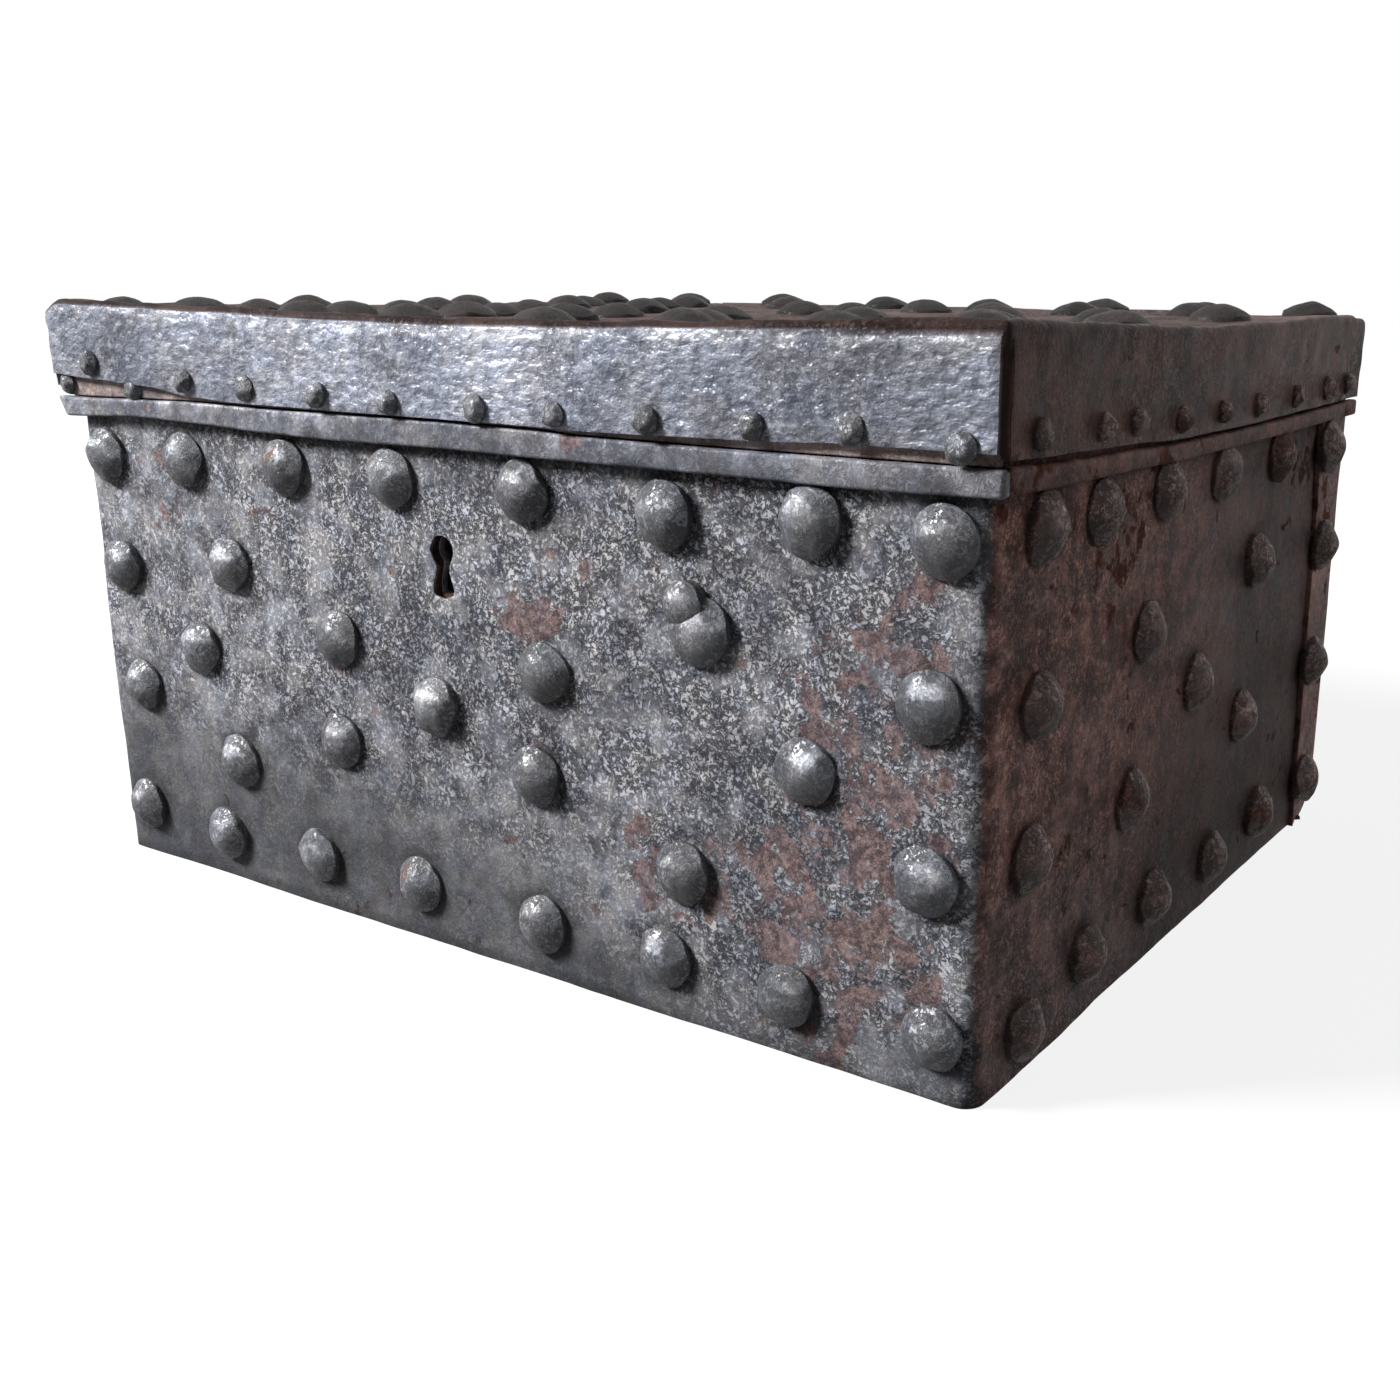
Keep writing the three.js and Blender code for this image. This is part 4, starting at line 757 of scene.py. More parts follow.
def wall_tones(points):
    """Tones of the front and the sides. The front is grey and pitted, smooth low on the left; the
    right side is brown, greyer towards its rear and foot and darker there with painted shade; the
    left side is grey. Painted shade also darkens the walls below and by the bands, and grime and
    painted shade darken them round the heads."""
    x, y, z = points.T
    on_front = 1 - smooth_step(-153.2, -151.0, y)
    on_side = 1 - on_front
    heads = near_heads(points, FRONT_HEADS, FRONT_STANDS * STUD_SHAPE, (0, 2)) * on_front
    for places, stands, way in ((RIGHT_HEADS, RIGHT_STANDS, 1), (LEFT_HEADS, LEFT_STANDS, -1)):
        near = near_heads(points, places, stands * STUD_SHAPE, (1, 2))
        heads = np.maximum(heads, near * (x * way > 190))
    smooth = smooth_on_front(points) * on_front
    rear = smooth_step(-120, 60, y)
    upper_left = smooth_step(20, 150, -x) * smooth_step(50, 120, z)
    bend = np.exp(-((np.abs(x) - 191.5) / 1.7) ** 2 - ((y + 152.6) / 1.9) ** 2)
    hole_edge = np.exp(-np.abs(np.hypot(x - KEY_X, (z - KEY_Z) * 0.8) - 5) / 1.6)
    # Painted shadow below the front band, and painted shade on the walls by the bands.
    painted_shadow_under_band = on_front * (1 - smooth_step(0.5, 3.0, eased_line(*BAND_FOOT_FRONT, x) - z))
    painted_shade_by_band = smooth_step(164, 171, z) * (1 - 0.7 * smooth_step(179, 184, z))
    spots = 0.12 * soft_patch(points, (193, -60, 150), (99, 70, 30), 21)
    on_left = on_side * smooth_step(189, 192, -x)
    greyer = 0.30 * on_side * np.maximum(smooth_step(-80, 60, y), 1 - smooth_step(20, 90, z))
    grime = np.clip(0.55 * heads + 0.86 * smooth + 0.95 * np.maximum(0.5 * painted_shade_by_band, painted_shadow_under_band)
                    + 0.30 * (1 - smooth_step(0, 5, z))
                    # The right side's darkening towards its rear and foot is painted shade.
                    + on_side * (0.84 * rear + 0.42 * (1 - smooth_step(30, 110, z))), 0, 1)
    return {
        "front": on_front + np.maximum(greyer, 0.85 * on_left),
        "pitted": on_front * (0.86 - 0.58 * smooth - 0.22 * upper_left)
        + on_side * (0.55 - 0.35 * rear),
        "wear": np.clip(0.20 * on_front - 0.12 * smooth + 0.10 * bend
                        + 0.25 * (1 - smooth_step(0, 3.0, z)) + 0.30 * hole_edge * on_front
                        - 0.18 * on_side, 0, 1),
        "rust": on_front * rust_on_front(points)
        + on_side * np.clip(0.22 + spots + 0.08 * ripple(points, 50, 22), 0, 1),
        "grime": np.clip(grime + 0.22 * on_left, 0, 1)}


def body_sheet():
    """The front and both sides from one bent sheet: a line up the wall carried along the plan,
    moved out and in by long shallow waves. The rear feet are cut to a quarter circle."""
    x, y, way = wall_plan()
    behind = np.clip(INNER_FOOT_RADIUS ** 2 - (y - REAR_BEND_Y) ** 2, 0, None)
    foot = np.where(y > REAR_BEND_Y, REAR_FOOT_RADIUS - np.sqrt(behind), 0.0)
    foot = np.maximum(foot, FLOOR_GAP)[:, None]
    z = foot + (BODY_TOP - foot) * np.linspace(0, 1, WALL_LEVELS)
    flat = np.stack([x[:, None] + 0 * z, y[:, None] + 0 * z, z], -1).reshape(-1, 3)
    waves = 0.26 * ripple(flat, 95, 3) + 0.13 * ripple(flat, 34, 4) + 0.05 * ripple(flat, 13, 5)
    points = flat + way.repeat(WALL_LEVELS, 0) * np.clip(waves, -0.55, 0.5)[:, None]
    points, faces = cut_keyhole(points, grid_faces(len(x), WALL_LEVELS), x, z)
    piece = make_piece("body_sheet", points, faces.tolist(), SHEET_IRON, "box",
                       ("body_wrap_sheet",), wall_tones(points))
    thicken(piece, SHEET)


def rear_line(radius, top):
    """A line up the back: an arc of a radius about the rear foot's centre, then straight up."""
    arc = np.linspace(0, np.pi / 2, 8)
    straight = np.linspace(0, 1, 58)[1:]
    y = np.concatenate([REAR_BEND_Y + radius * np.sin(arc),
                        np.full(len(straight), REAR_BEND_Y + radius)])
    z = np.concatenate([REAR_FOOT_RADIUS - radius * np.cos(arc),
                        REAR_FOOT_RADIUS + (top - REAR_FOOT_RADIUS) * straight])
    return y, z


def flange_edge(z):
    """Where the flanges end at each level: they run a little further forward towards the top."""
    return 130 - 9 * z / FLANGE_TOP


def back_sheet():
    """The back with its two flanges: an upright line carried from the right flange's edge round a
    bend, across the back and round to the left flange. Flange lines lie evenly between their edge
    and the rear line of the flange's inner radius."""
    lines = []
    inner_y, inner_z = rear_line(INNER_FOOT_RADIUS, FLANGE_TOP)
    straight = np.linspace(0, 1, 58)[1:]
    edge_z = np.concatenate([np.linspace(0, REAR_FOOT_RADIUS, 8),
                             REAR_FOOT_RADIUS + (FLANGE_TOP - REAR_FOOT_RADIUS) * straight])
    edge_y = flange_edge(edge_z)
    for share in np.linspace(0, 1, 9)[:-1]:
        y, z = edge_y + (inner_y - edge_y) * share, edge_z + (inner_z - edge_z) * share
        lines.append(np.stack([np.full_like(y, FLANGE_FACE), y, z], -1))
    for turn in np.radians([0, 22.5, 45, 67.5, 90]):
        y, z = rear_line(INNER_FOOT_RADIUS + 3 * math.sin(turn), FLANGE_TOP)
        lines.append(np.stack([np.full_like(y, FLANGE_FACE - 3 + 3 * math.cos(turn)), y, z], -1))
    y, z = rear_line(REAR_FOOT_RADIUS, BODY_TOP)
    lines += [np.stack([np.full_like(y, x), y, z], -1) for x in np.linspace(190.5, 0, 64)]
    right = np.array(lines)
    lines = np.concatenate([right, right[::-1][1:] * (-1, 1, 1)])
    points = lines.reshape(-1, 3)
    points[:, 2] = np.maximum(points[:, 2], FLOOR_GAP)
    waves = 0.22 * ripple(points, 90, 41) + 0.10 * ripple(points, 30, 42)
    flange = np.abs(points[:, 0]) > 192.5
    way = np.stack([np.sign(points[:, 0]) * flange, 1.0 * ~flange, 0 * waves], -1)
    points = points + way * (np.clip(waves, -0.35, 0.0) - 0.05)[:, None]
    y, z = points[:, 1], points[:, 2]
    heads = near_heads(points, BACK_HEADS, BACK_STANDS * STUD_SHAPE, (0, 2)) * (y > 150)
    edge = np.exp(-(y - flange_edge(z)) / 1.6) * flange
    # Painted shade below the bands; grime and painted shade round the heads.
    tones = {"front": 0 * y, "pitted": 0.34 + 0.12 * ripple(points, 70, 43),
             "wear": np.clip(0.10 + 0.5 * edge, 0, 1),
             "rust": np.clip(0.26 + 0.12 * ripple(points, 60, 44), 0, 1),
             "grime": np.clip(0.6 * heads + 0.15 + 0.35 * smooth_step(166, 172, z), 0, 1)}
    piece = make_piece("back_sheet", points, grid_faces(*lines.shape[:2]).tolist(), SHEET_IRON,
                       "box", ("back_plate",), tones)
    thicken(piece, SHEET, even=False)


def rivet_with_shank(node, body, way, up, size, material, seed, facets=(4, 6)):
    """A rivet of its own: a hammered head and a round shank with a peened end, in the CAD rivet's
    place. The shank is a circle carried along its axis, closed at the inner end."""
    radius, height, shank = size
    low, high = (np.array(v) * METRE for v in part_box(node))
    axis, sign = way
    place, tail = (low + high) / 2, (low + high) / 2
    place[axis] = (low[axis] if sign < 0 else high[axis]) - sign * height
    tail[axis] = high[axis] if sign < 0 else low[axis]
    out, up = np.zeros(3), np.array(up, float)
    out[axis] = sign
    points, faces, tones = hammered_heads(place[None], out, up, [radius], [height * 0.98], seed,
                                          facets, root=0.25)
    turn = np.linspace(0, 2 * np.pi, 21)[:-1]
    ring = np.cos(turn)[:, None] * np.cross(up, out) + np.sin(turn)[:, None] * up
    stem = np.concatenate([place + (tail - place) * along + ring * shank * wide for wide, along in
                           ((1, 0.0), (1, 0.86), (1.02, 0.94), (0.6, 1.0), (0.02 / shank, 1.0))])
    stem_faces = grid_faces(5, 20, closed_columns=True)[:, ::-1]
    own = float(np.random.default_rng(seed).uniform())
    flat = np.zeros(len(stem))
    stem_tones = {"high": flat, "own": flat + own, "front": flat, "wear": flat + 0.3,
                  "grime": flat, "rust": flat + 0.2}
    points, rows, tones = joined([(points, faces, stud_tones(points, tones, 0.0, seed=seed)),
                                  (stem, [stem_faces], stem_tones)])
    return make_piece(node + "_head", points, rows, material, body, (node,), tones)


# ---- bars, bands and strips ----

def carried_bar(name, node, body, start, end, out, section, foot, top, material, slot, seed,
                tones_of=None, wobble=0.18, slant=0.0):
    """A flat bar against a face: a rectangle with rounded corners, between the section's inner and
    outer distance and between a foot line and a top line, carried from start to end along the face.
    It shrinks a little at the two closed ends, and the first may be cut at a slant."""
    inner, outer, rounding = section
    start, end, out = (np.array(v, float) for v in (start, end, out))
    length = np.linalg.norm(end - start)
    run = (end - start) / length
    inside = np.linspace(0, length, max(3, int(length / 4.0) + 1))[1:-1]
    at = np.concatenate([[0, rounding], inside, [length - rounding, length]])
    turn = np.concatenate([np.linspace(k, k + 90, 5) for k in (0, 90, 180, 270)]) * np.pi / 180
    near, far = inner + rounding, outer - rounding
    centre = np.repeat([far, near, near, far], 5)
    above = np.repeat([True, True, False, False], 5)
    shrink = (1 - np.clip(np.minimum(at, length - at) / rounding, 0, 1))[:, None] * rounding * 0.63
    d = centre + (rounding - shrink) * np.cos(turn)
    z = np.where(above, top(at)[:, None] - rounding, foot(at)[:, None] + rounding) \
        + (rounding - shrink) * np.sin(turn)
    middle = start + at[:, None] * run
    d = d + wobble * np.clip(ripple(middle, 24, seed), -1, 0.2)[:, None] * (np.cos(turn) > 0.3)
    points = middle[:, None, :] + d[..., None] * out
    points[..., 2] = z
    level = (z - z.mean(1, keepdims=True)) / 4.0
    points += (slant * level * np.exp(-(at / 6)[:, None] ** 2))[..., None] * run
    rows, columns = z.shape
    faces = grid_faces(rows, columns, closed_columns=True).tolist()
    faces += [list(range(columns)), list(range(rows * columns - 1, (rows - 1) * columns - 1, -1))]
    if np.dot(np.cross(run, (0, 0, 1)), out) < 0:
        faces = [face[::-1] for face in faces]
    points = points.reshape(-1, 3)
    tones = tones_of(points) if tones_of else None
    return make_piece(name, points, faces, material, body, (node,), tones)


def band_tones(front, wear, rust):
    """Tones of a band as a function of its points: worn edges and a foot darkened with
    painted shade.
    """
    def tones_of(points):
        edge = smooth_step(0.5, 1.2, np.abs(points[:, 2] - points[:, 2].mean()) / 4.5)
        return {"front": np.full(len(points), front), "wear": np.clip(wear + 0.3 * edge, 0, 1),
                "rust": np.clip(rust + 0.12 * ripple(points, 50, 51), 0, 1),
                # The band's foot is darkened with painted shade.
                "grime": 0.45 * (1 - smooth_step(172, 174.5, points[:, 2]))}
    return tones_of


def bands():
    """The flat bands riveted round the rim, each carried along its side."""
    def band(side, start, end, out, foot, top, seed, tones_of, **more):
        carried_bar("band_" + side, "rim_band_" + side, "box", start, end, out, BAND_SECTION, foot,
                    top, BAND_IRON, "band_iron", seed, tones_of, **more)

    reach = 197.5
    band("front", (-reach, -HALF_DEPTH, 0), (reach, -HALF_DEPTH, 0), (0, -1, 0),
         edge_line(BAND_FOOT_FRONT, -reach), edge_line(BAND_TOP_FRONT, -reach), 61,
         band_tones(1.0, 0.36, 0.14), slant=-2.4)
    for side, way, foot, top in (("right", 1, BAND_FOOT_RIGHT, BAND_TOP_RIGHT),
                                 ("left", -1, BAND_FOOT_LEFT, BAND_TOP_LEFT)):
        band(side, (way * HALF_WIDTH, -153.9, 0), (way * HALF_WIDTH, 158.4, 0), (way, 0, 0),
             edge_line(foot), edge_line(top), 62 + way, band_tones(0.0, 0.22, 0.26))
    for side, x0, x1 in (("back_left", -HALF_WIDTH, -122), ("back_middle", -88, 88),
                         ("back_right", 122, HALF_WIDTH)):
        band(side, (x0, HALF_DEPTH, 0), (x1, HALF_DEPTH, 0), (0, 1, 0),
             level_line(BAND_FOOT + 0.1, 0.15, 64), level_line(BAND_TOP - 0.1, 0.15, 65), 66,
             band_tones(0.0, 0.2, 0.28))


def strips():
    """The thin strips inside the skirts: only their rusty feet show below them."""
    for side, start, end, out, foot, seed in (
            ("front", (-195.5, -HALF_DEPTH, 0), (195.5, -HALF_DEPTH, 0), (0, -1, 0),
             edge_line(BAND_TOP_FRONT, -195.5, 0.45), 71),
            ("back", (-195.5, HALF_DEPTH, 0), (195.5, HALF_DEPTH, 0), (0, 1, 0),
             level_line(181.7, 0.15, 72), 72),
            ("right", (HALF_WIDTH, -154.5, 0), (HALF_WIDTH, 156.4, 0), (1, 0, 0),
             edge_line(SKIRT_FOOT_RIGHT, -154.5, 1.2), 75),
            ("left", (-HALF_WIDTH, -154.5, 0), (-HALF_WIDTH, 156.4, 0), (-1, 0, 0),
             level_line(181.8, 0.2, 73), 73)):
        carried_bar("strip_" + side, "skirt_strip_" + side, "lid", start, end, out, STRIP_SECTION,
                    foot, level_line(STRIP_TOP), STRIP_IRON_PAINTED_LIGHT, "strip_iron", seed, wobble=0.1)


# ---- the lid ----

def lid_top(x, y):
    """The level of the lid's top. Inside it lies about 3 mm below its front corners and dishes a
    little; over the last 26 mm it rises to the level of the nearest edge, and where two edges meet
    the one further off that level counts."""
    spots = np.stack([x, y, 0 * x], -1)
    inside = 208.9 - 0.5 * y / LID_HALF_DEPTH + 0.35 * np.clip(ripple(spots, 110, 81), -1.5, 1.5)
    level = inside
    for edge, at, away in ((LID_FRONT, x, y + LID_HALF_DEPTH), (LID_BACK, x, LID_HALF_DEPTH - y),
                           (LID_RIGHT, y, LID_HALF_WIDTH - x), (LID_LEFT, y, LID_HALF_WIDTH + x)):
        rise = (eased_line(*edge, at) - inside) * (1 - smooth_step(2.0, 26.0, away))
        level = np.where(np.abs(rise) > np.abs(level - inside), inside + rise, level)
    return level


def lid_bulge(x, y, z):
    """How far the lid's front left corner leans out to the left: up to 3.4 mm."""
    near = smooth_step(0, 48, -150 - x) * (1 - smooth_step(-159, -60, y))
    return -3.4 * near * (0.75 + 0.25 * smooth_step(183, 200, z))


def lid_dents(points):
    """Hammer dents of a few sizes, from 0.3 mm in to 0.25 mm out."""
    dents = 0.18 * ripple(points, 21, 82) + 0.12 * ripple(points, 11, 83) \
        + 0.10 * ripple(points, 46, 84)
    return np.clip(dents, -0.30, 0.25)


LID_ACROSS, LID_ALONG, LID_CORNER_STATIONS = 130, 100, 4
SKIRT_ROWS, EDGE_ROWS, SEAM_ROWS = 16, 6, 14
LID_EDGE_RADIUS = 2.6
GRID_X, GRID_Y = 188, 149


def lid_plan(half_x, half_y, corner):
    """Stations round the lid: straight sides joined by quarter circles, counter-clockwise from the
    front left. Next to each seam one station lies 0.6 mm behind the end of the corner."""
    arc = np.linspace(-np.pi / 2, 0, LID_CORNER_STATIONS + 2)[1:-1]
    flat_x, flat_y = half_x - corner, half_y - corner
    xs = np.linspace(-flat_x, flat_x, LID_ACROSS + 1)
    inner = np.linspace(-flat_y + 0.6, flat_y - 0.6, LID_ALONG + 1)
    ys = np.concatenate([[-flat_y], inner, [flat_y]])
    front = np.stack([xs, np.full_like(xs, -half_y)], -1)
    turn_one = np.stack([flat_x + corner * np.cos(arc), -flat_y + corner * np.sin(arc)], -1)
    right = np.stack([np.full_like(ys, half_x), ys], -1)
    turn_two = np.stack([flat_x - corner * np.sin(arc), flat_y + corner * np.cos(arc)], -1)
    half = np.concatenate([front, turn_one, right, turn_two])
    return np.concatenate([half, -half])


def skirt_foot(x, y):
    """The level of the skirts' foot round the lid."""
    wave = np.clip(0.45 * ripple(np.stack([x, y, 0 * x], -1), 60, 85), -0.9, 0.9)
    foot = 183.3 + wave
    right = eased_line(*SKIRT_FOOT_RIGHT, y) + 0.4 * wave
    foot = foot + (right - foot) * smooth_step(195.9, 197.6, x)
    on_front = 1 - smooth_step(-158.4, -156.8, y)
    return foot + (eased_line(*SKIRT_FOOT_FRONT, x) - foot) * on_front


def lid_grid():
    """Points, ways out and faces of the lid before it is hammered: a profile carried round the
    plan, from the skirt's foot up, over a rounded edge and 10 mm in, then a grid across the top.
    The skirts stay open at each corner by a narrow seam."""
    turn = np.linspace(0, np.pi / 2, EDGE_ROWS + 1)[1:]
    upright = np.zeros(SKIRT_ROWS)
    inset = np.concatenate([upright, LID_EDGE_RADIUS * (1 - np.cos(turn)), [5.5, 10.0]])
    above = np.concatenate([upright, LID_EDGE_RADIUS * np.sin(turn)])
    tilt = np.concatenate([upright, turn, [np.pi / 2, np.pi / 2]])
    plans = np.stack([lid_plan(LID_HALF_WIDTH - i, LID_HALF_DEPTH - i, max(2.2 - i, 0.02))
                      for i in inset], 1)
    x, y = plans[..., 0], plans[..., 1]
    folded = SKIRT_ROWS + EDGE_ROWS
    brim = lid_top(x[:, folded - 1], y[:, folded - 1])
    foot = skirt_foot(x[:, 0], y[:, 0])
    under = brim - LID_EDGE_RADIUS
    z = np.concatenate([under[:, None] + above, lid_top(x[:, folded:], y[:, folded:])], 1)
    z[:, :SKIRT_ROWS] = foot[:, None] + (under - foot)[:, None] * np.linspace(0, 1, SKIRT_ROWS)
    side = np.roll(plans[:, 0], -1, 0) - np.roll(plans[:, 0], 1, 0)
    level = np.stack([side[:, 1], -side[:, 0], 0 * side[:, 0]], -1)
    level /= np.linalg.norm(level, axis=1)[:, None]
    way = level[:, None, :] * np.cos(tilt)[None, :, None] \
        + np.array([0, 0, 1]) * np.sin(tilt)[None, :, None]
    count, rows = len(plans), len(inset)
    faces = grid_faces(count, rows, closed_rows=True)
    first_seam = LID_ACROSS + LID_CORNER_STATIONS + 1
    starts = (first_seam, first_seam + LID_ALONG + 1)
    seams = [start + count // 2 * k for start in starts for k in (0, 1)]
    station, row = np.divmod(faces[:, 0], rows)
    faces = faces[~(np.isin(station, seams) & (row < SEAM_ROWS))]
    gx = np.linspace(-GRID_X, GRID_X, LID_ACROSS + 1)
    gy = np.concatenate([[-GRID_Y], np.linspace(0.6 - GRID_Y, GRID_Y - 0.6, LID_ALONG + 1),
                         [GRID_Y]])
    gx, gy = np.meshgrid(gx, gy, indexing="ij")
    top = np.stack([gx, gy, lid_top(gx, gy)], -1).reshape(-1, 3)
    faces = np.concatenate([faces, grid_faces(*gx.shape, count * rows)])
    points = np.concatenate([np.stack([x, y, z], -1).reshape(-1, 3), top])
    return points, np.concatenate([way.reshape(-1, 3), np.tile([0.0, 0, 1], (len(top), 1))]), faces


def lid_tones(points, groove):
    """Tones of the lid: a bright grey front skirt up to the fold line, brown ends and top, painted
    shade in the fold and in the corners' seams, grime and painted shade round the heads, and a
    front skirt darker towards both ends."""
    x, y, z = points.T
    side_face = 1 - smooth_step(0, 3, LID_HALF_WIDTH - np.abs(x))
    above_fold = z - eased_line(*FOLD_LINE, x)
    behind = y + LID_HALF_DEPTH
    bright = (1 - smooth_step(1.9, 2.7, behind)) * (1 - smooth_step(195.7, 196.1, x)) \
        * (1 - smooth_step(-0.9, 0.0, above_fold))
    fold = (1 - smooth_step(2.0, 4.5, behind)) * (1 - bright) * (z > 205)
    from_edge = np.minimum(LID_HALF_WIDTH - np.abs(x), LID_HALF_DEPTH - np.abs(y))
    on_top = smooth_step(2.0, 3.4, from_edge)
    heads = near_heads(points, LID_HEADS, LID_STANDS * STUD_SHAPE, (0, 1)) * on_top
    upper_edge = np.exp(-((above_fold + 2.5) / 2.6) ** 2) * bright
    foot_edge = np.exp(-(z - eased_line(*SKIRT_FOOT_FRONT, x)) / 1.2) * bright
    ends = bright * (0.44 * smooth_step(40, 170, -x) + 0.50 * smooth_step(20, 160, x))
    return {
        "front": bright,
        "pitted": np.clip(0.42 - 0.12 * bright + 0.14 * ripple(points, 60, 86), 0, 1),
        "wear": np.clip(0.30 * bright + 0.42 * upper_edge + 0.10 * foot_edge + 0.12 * on_top
                        + 0.04 * side_face, 0, 1),
        "rust": np.clip(0.06 * bright + 0.16 * on_top + 0.20 * side_face + 0.25 * fold
                        + 0.08 * ripple(points, 45, 87), 0, 1),
        # The fold and the seams' groove are darkened with painted shade.
        "grime": np.clip(0.55 * heads + 0.42 * on_top + 0.10 * side_face + 0.9 * fold
                         + 0.95 * groove + ends, 0, 1)}


def weld(mesh, gap, result=None, flat_angle=0):
    """Joins points of a mesh that fall together, dissolves edges flatter than an angle, and writes
    the result to the mesh or to another."""
    work = bmesh.new()
    work.from_mesh(mesh)
    bmesh.ops.remove_doubles(work, verts=work.verts, dist=gap)
    if flat_angle:
        bmesh.ops.dissolve_limit(work, angle_limit=math.radians(flat_angle), verts=work.verts,
                                 edges=work.edges)
    work.to_mesh(result or mesh)
    work.free()


def lid_sheet():
    """The lid from one sheet. Waves and dents move every point of its grid in or out along its own
    normal, the corners' seams lie in a groove, and the front left corner is beaten down."""
    points, way, faces = lid_grid()
    x, y, z = points.T
    at_corner = (np.abs(x) > 195.85) & (np.abs(y) > 156.85)
    groove = at_corner * (1 - smooth_step(203, 211, z))
    moved = points + way * (lid_dents(points) * (1 - groove) - 0.9 * groove)[:, None]
    moved[:, 0] += lid_bulge(x, y, z)
    from_corner = np.hypot(x + LID_HALF_WIDTH, y + LID_HALF_DEPTH)
    moved[:, 2] -= 4.0 * np.exp(-(from_corner / 5.5) ** 2) * smooth_step(200, 212, z)
    piece = make_piece("lid_shell", moved, faces.tolist(), LID_IRON, "lid",
                       ("lid_sheet",), lid_tones(points, groove))
    weld(piece.data, 0.00012)
    thicken(piece, LID_SHEET, 0.3)


def lid_lining():
    """A thin plate under the top that sags with it."""
    x, y = np.meshgrid(np.linspace(-195.3, 195.3, 70), np.linspace(-156.3, 156.3, 58),
                       indexing="ij")
    z = np.minimum(lid_top(x, y), 210.0) - LID_SHEET - 0.75
    piece = make_piece("lid_lining_sheet", np.stack([x, y, z], -1).reshape(-1, 3),
                       grid_faces(*x.shape).tolist(), LINING_IRON, "lid",
                       ("lid_lining",))
    thicken(piece, 1.3, 0.2)


def skirt_rivets():
    """Small rivets of sharp facets along the four skirts; two at the left end of the front sit
    lower, on the strip."""
    x, z = FRONT_SKIRT_RIVETS.T
    y = np.where(z < eased_line(*SKIRT_FOOT_FRONT, x) + 0.5, -156.4, -LID_HALF_DEPTH)
    rng = np.random.default_rng(91)
    groups = [(np.stack([x + lid_bulge(x, y, z), y, z], -1), (0, -1, 0), 92)]
    for axis, way, face, seed in ((0, 1, LID_HALF_WIDTH, 93), (0, -1, LID_HALF_WIDTH, 94),
                                  (1, 1, LID_HALF_DEPTH, 95)):
        found, _ = crowns("lid_sheet", axis, way, face, 3.0, 3)
        if (axis, way) == (0, 1):
            found[:, 2] += eased_line(*SKIRT_FOOT_RIGHT, found[:, 1]) - SKIRT_FOOT + 1.5
        elif axis == 0:
            found[:, 0] += lid_bulge(*found.T)
        out = np.zeros(3)
        out[axis] = way
        groups.append((found, out, seed))
    parts = []
    for found, out, seed in groups:
        radii = 4.2 * rng.uniform(0.92, 1.14, len(found))
        room = 202.4 - np.abs(found[:, 0]) if out[0] else 4.2
        heights = np.minimum(rng.uniform(3.0, 4.1, len(found)), room)
        points, faces, tones = hammered_heads(found, out, (0, 0, 1), radii, heights, seed, (6,),
                                              soft=0.04, rings=8, sides=30)
        front, wear, rust = (0.0, 0.1, 0.3) if parts else (1.0, 0.20, 0.08)
        tones = stud_tones(points, tones, front, wear, rust, seed)
        tones["grime"] = tones["grime"] * 0.7
        parts.append((points, faces, tones))
    for name, some, material in (("skirt_rivets", parts[:1], STUD_IRON),
                                 ("side_skirt_rivets", parts[1:], SIDE_STUD_IRON)):
        points, rows, tones = joined(some)
        make_piece(name, points, rows, material, "lid", ("lid_sheet",), tones)


# ---- hinges, lock and linings ----

def dressed(node, body, material, edge):
    """A CAD piece's own shape, merged from its loose triangles, with eased edges."""
    mesh = bpy.data.meshes.new(node + "_dressed")
    weld(cad_nodes[node].data, 0.00001, mesh, 1.5)
    piece = place_piece(node + "_dressed", mesh, material, body, (node,))
    ease(piece, edge, 30)
    return piece


def draw_back_shoulder(bolt, clear=0.2):
    """Moves the bolt's shoulder back a little, so that it stops just short of the staple."""
    points = mesh_points(bolt.data)
    at_shoulder = np.abs(points[:, 0] * METRE - SHOULDER_X) < 0.1
    points[at_shoulder, 0] -= clear / METRE
    bolt.data.vertices.foreach_set("co", points.ravel())


def build_studs():
    """The heads on the four walls and on the lid."""
    def studs(name, places, stands, out, front, seed, material, *shades, node="body_wrap_sheet",
              **more):
        studs_on(name, node, "body_iron", "box", places, stands, out, (0, 0, 1), front, seed,
                 material, *shades, **more)

    whole = np.arange(len(FRONT_HEADS)) != PAIR_SMALL
    widths = np.where(np.arange(len(FRONT_HEADS)) == PAIR_BIG, 1.05, 1.0)[whole]
    studs("front_studs", FRONT_HEADS[whole], FRONT_STANDS[whole], (0, -1, 0), 1.0, 101, STUD_IRON,
          widths=widths)
    studs("small_stud", FRONT_HEADS[[PAIR_SMALL]] + (0.0, -2.6, 0.0), FRONT_STANDS[[PAIR_SMALL]],
          (0, -1, 0), 1.0, 106, STUD_IRON, lift=0.86, widths=0.9, root=3.2)
    studs("right_studs", RIGHT_HEADS, RIGHT_STANDS, (1, 0, 0), 0.0, 102, SIDE_STUD_IRON, 0.26, 0.24)
    studs("left_studs", LEFT_HEADS, LEFT_STANDS, (-1, 0, 0), 0.7, 103, STUD_IRON, 0.16, 0.24)
    studs("back_studs", BACK_HEADS, BACK_STANDS, (0, 1, 0), 0.0, 104, SIDE_STUD_IRON, 0.26, 0.24,
          node="back_plate")
    heads = LID_HEADS.copy()
    heads[:, 2] = lid_top(heads[:, 0], heads[:, 1]) - 0.1
    studs_on("lid_studs", "lid_sheet", "lid_iron", "lid", heads, LID_STANDS, (0, 0, 1), (0, 1, 0),
             0.0, 105, LID_STUD_IRON, 0.16, 0.2, 0.78, 1.04, undercut=-0.06, least=0.02, root=0.5)


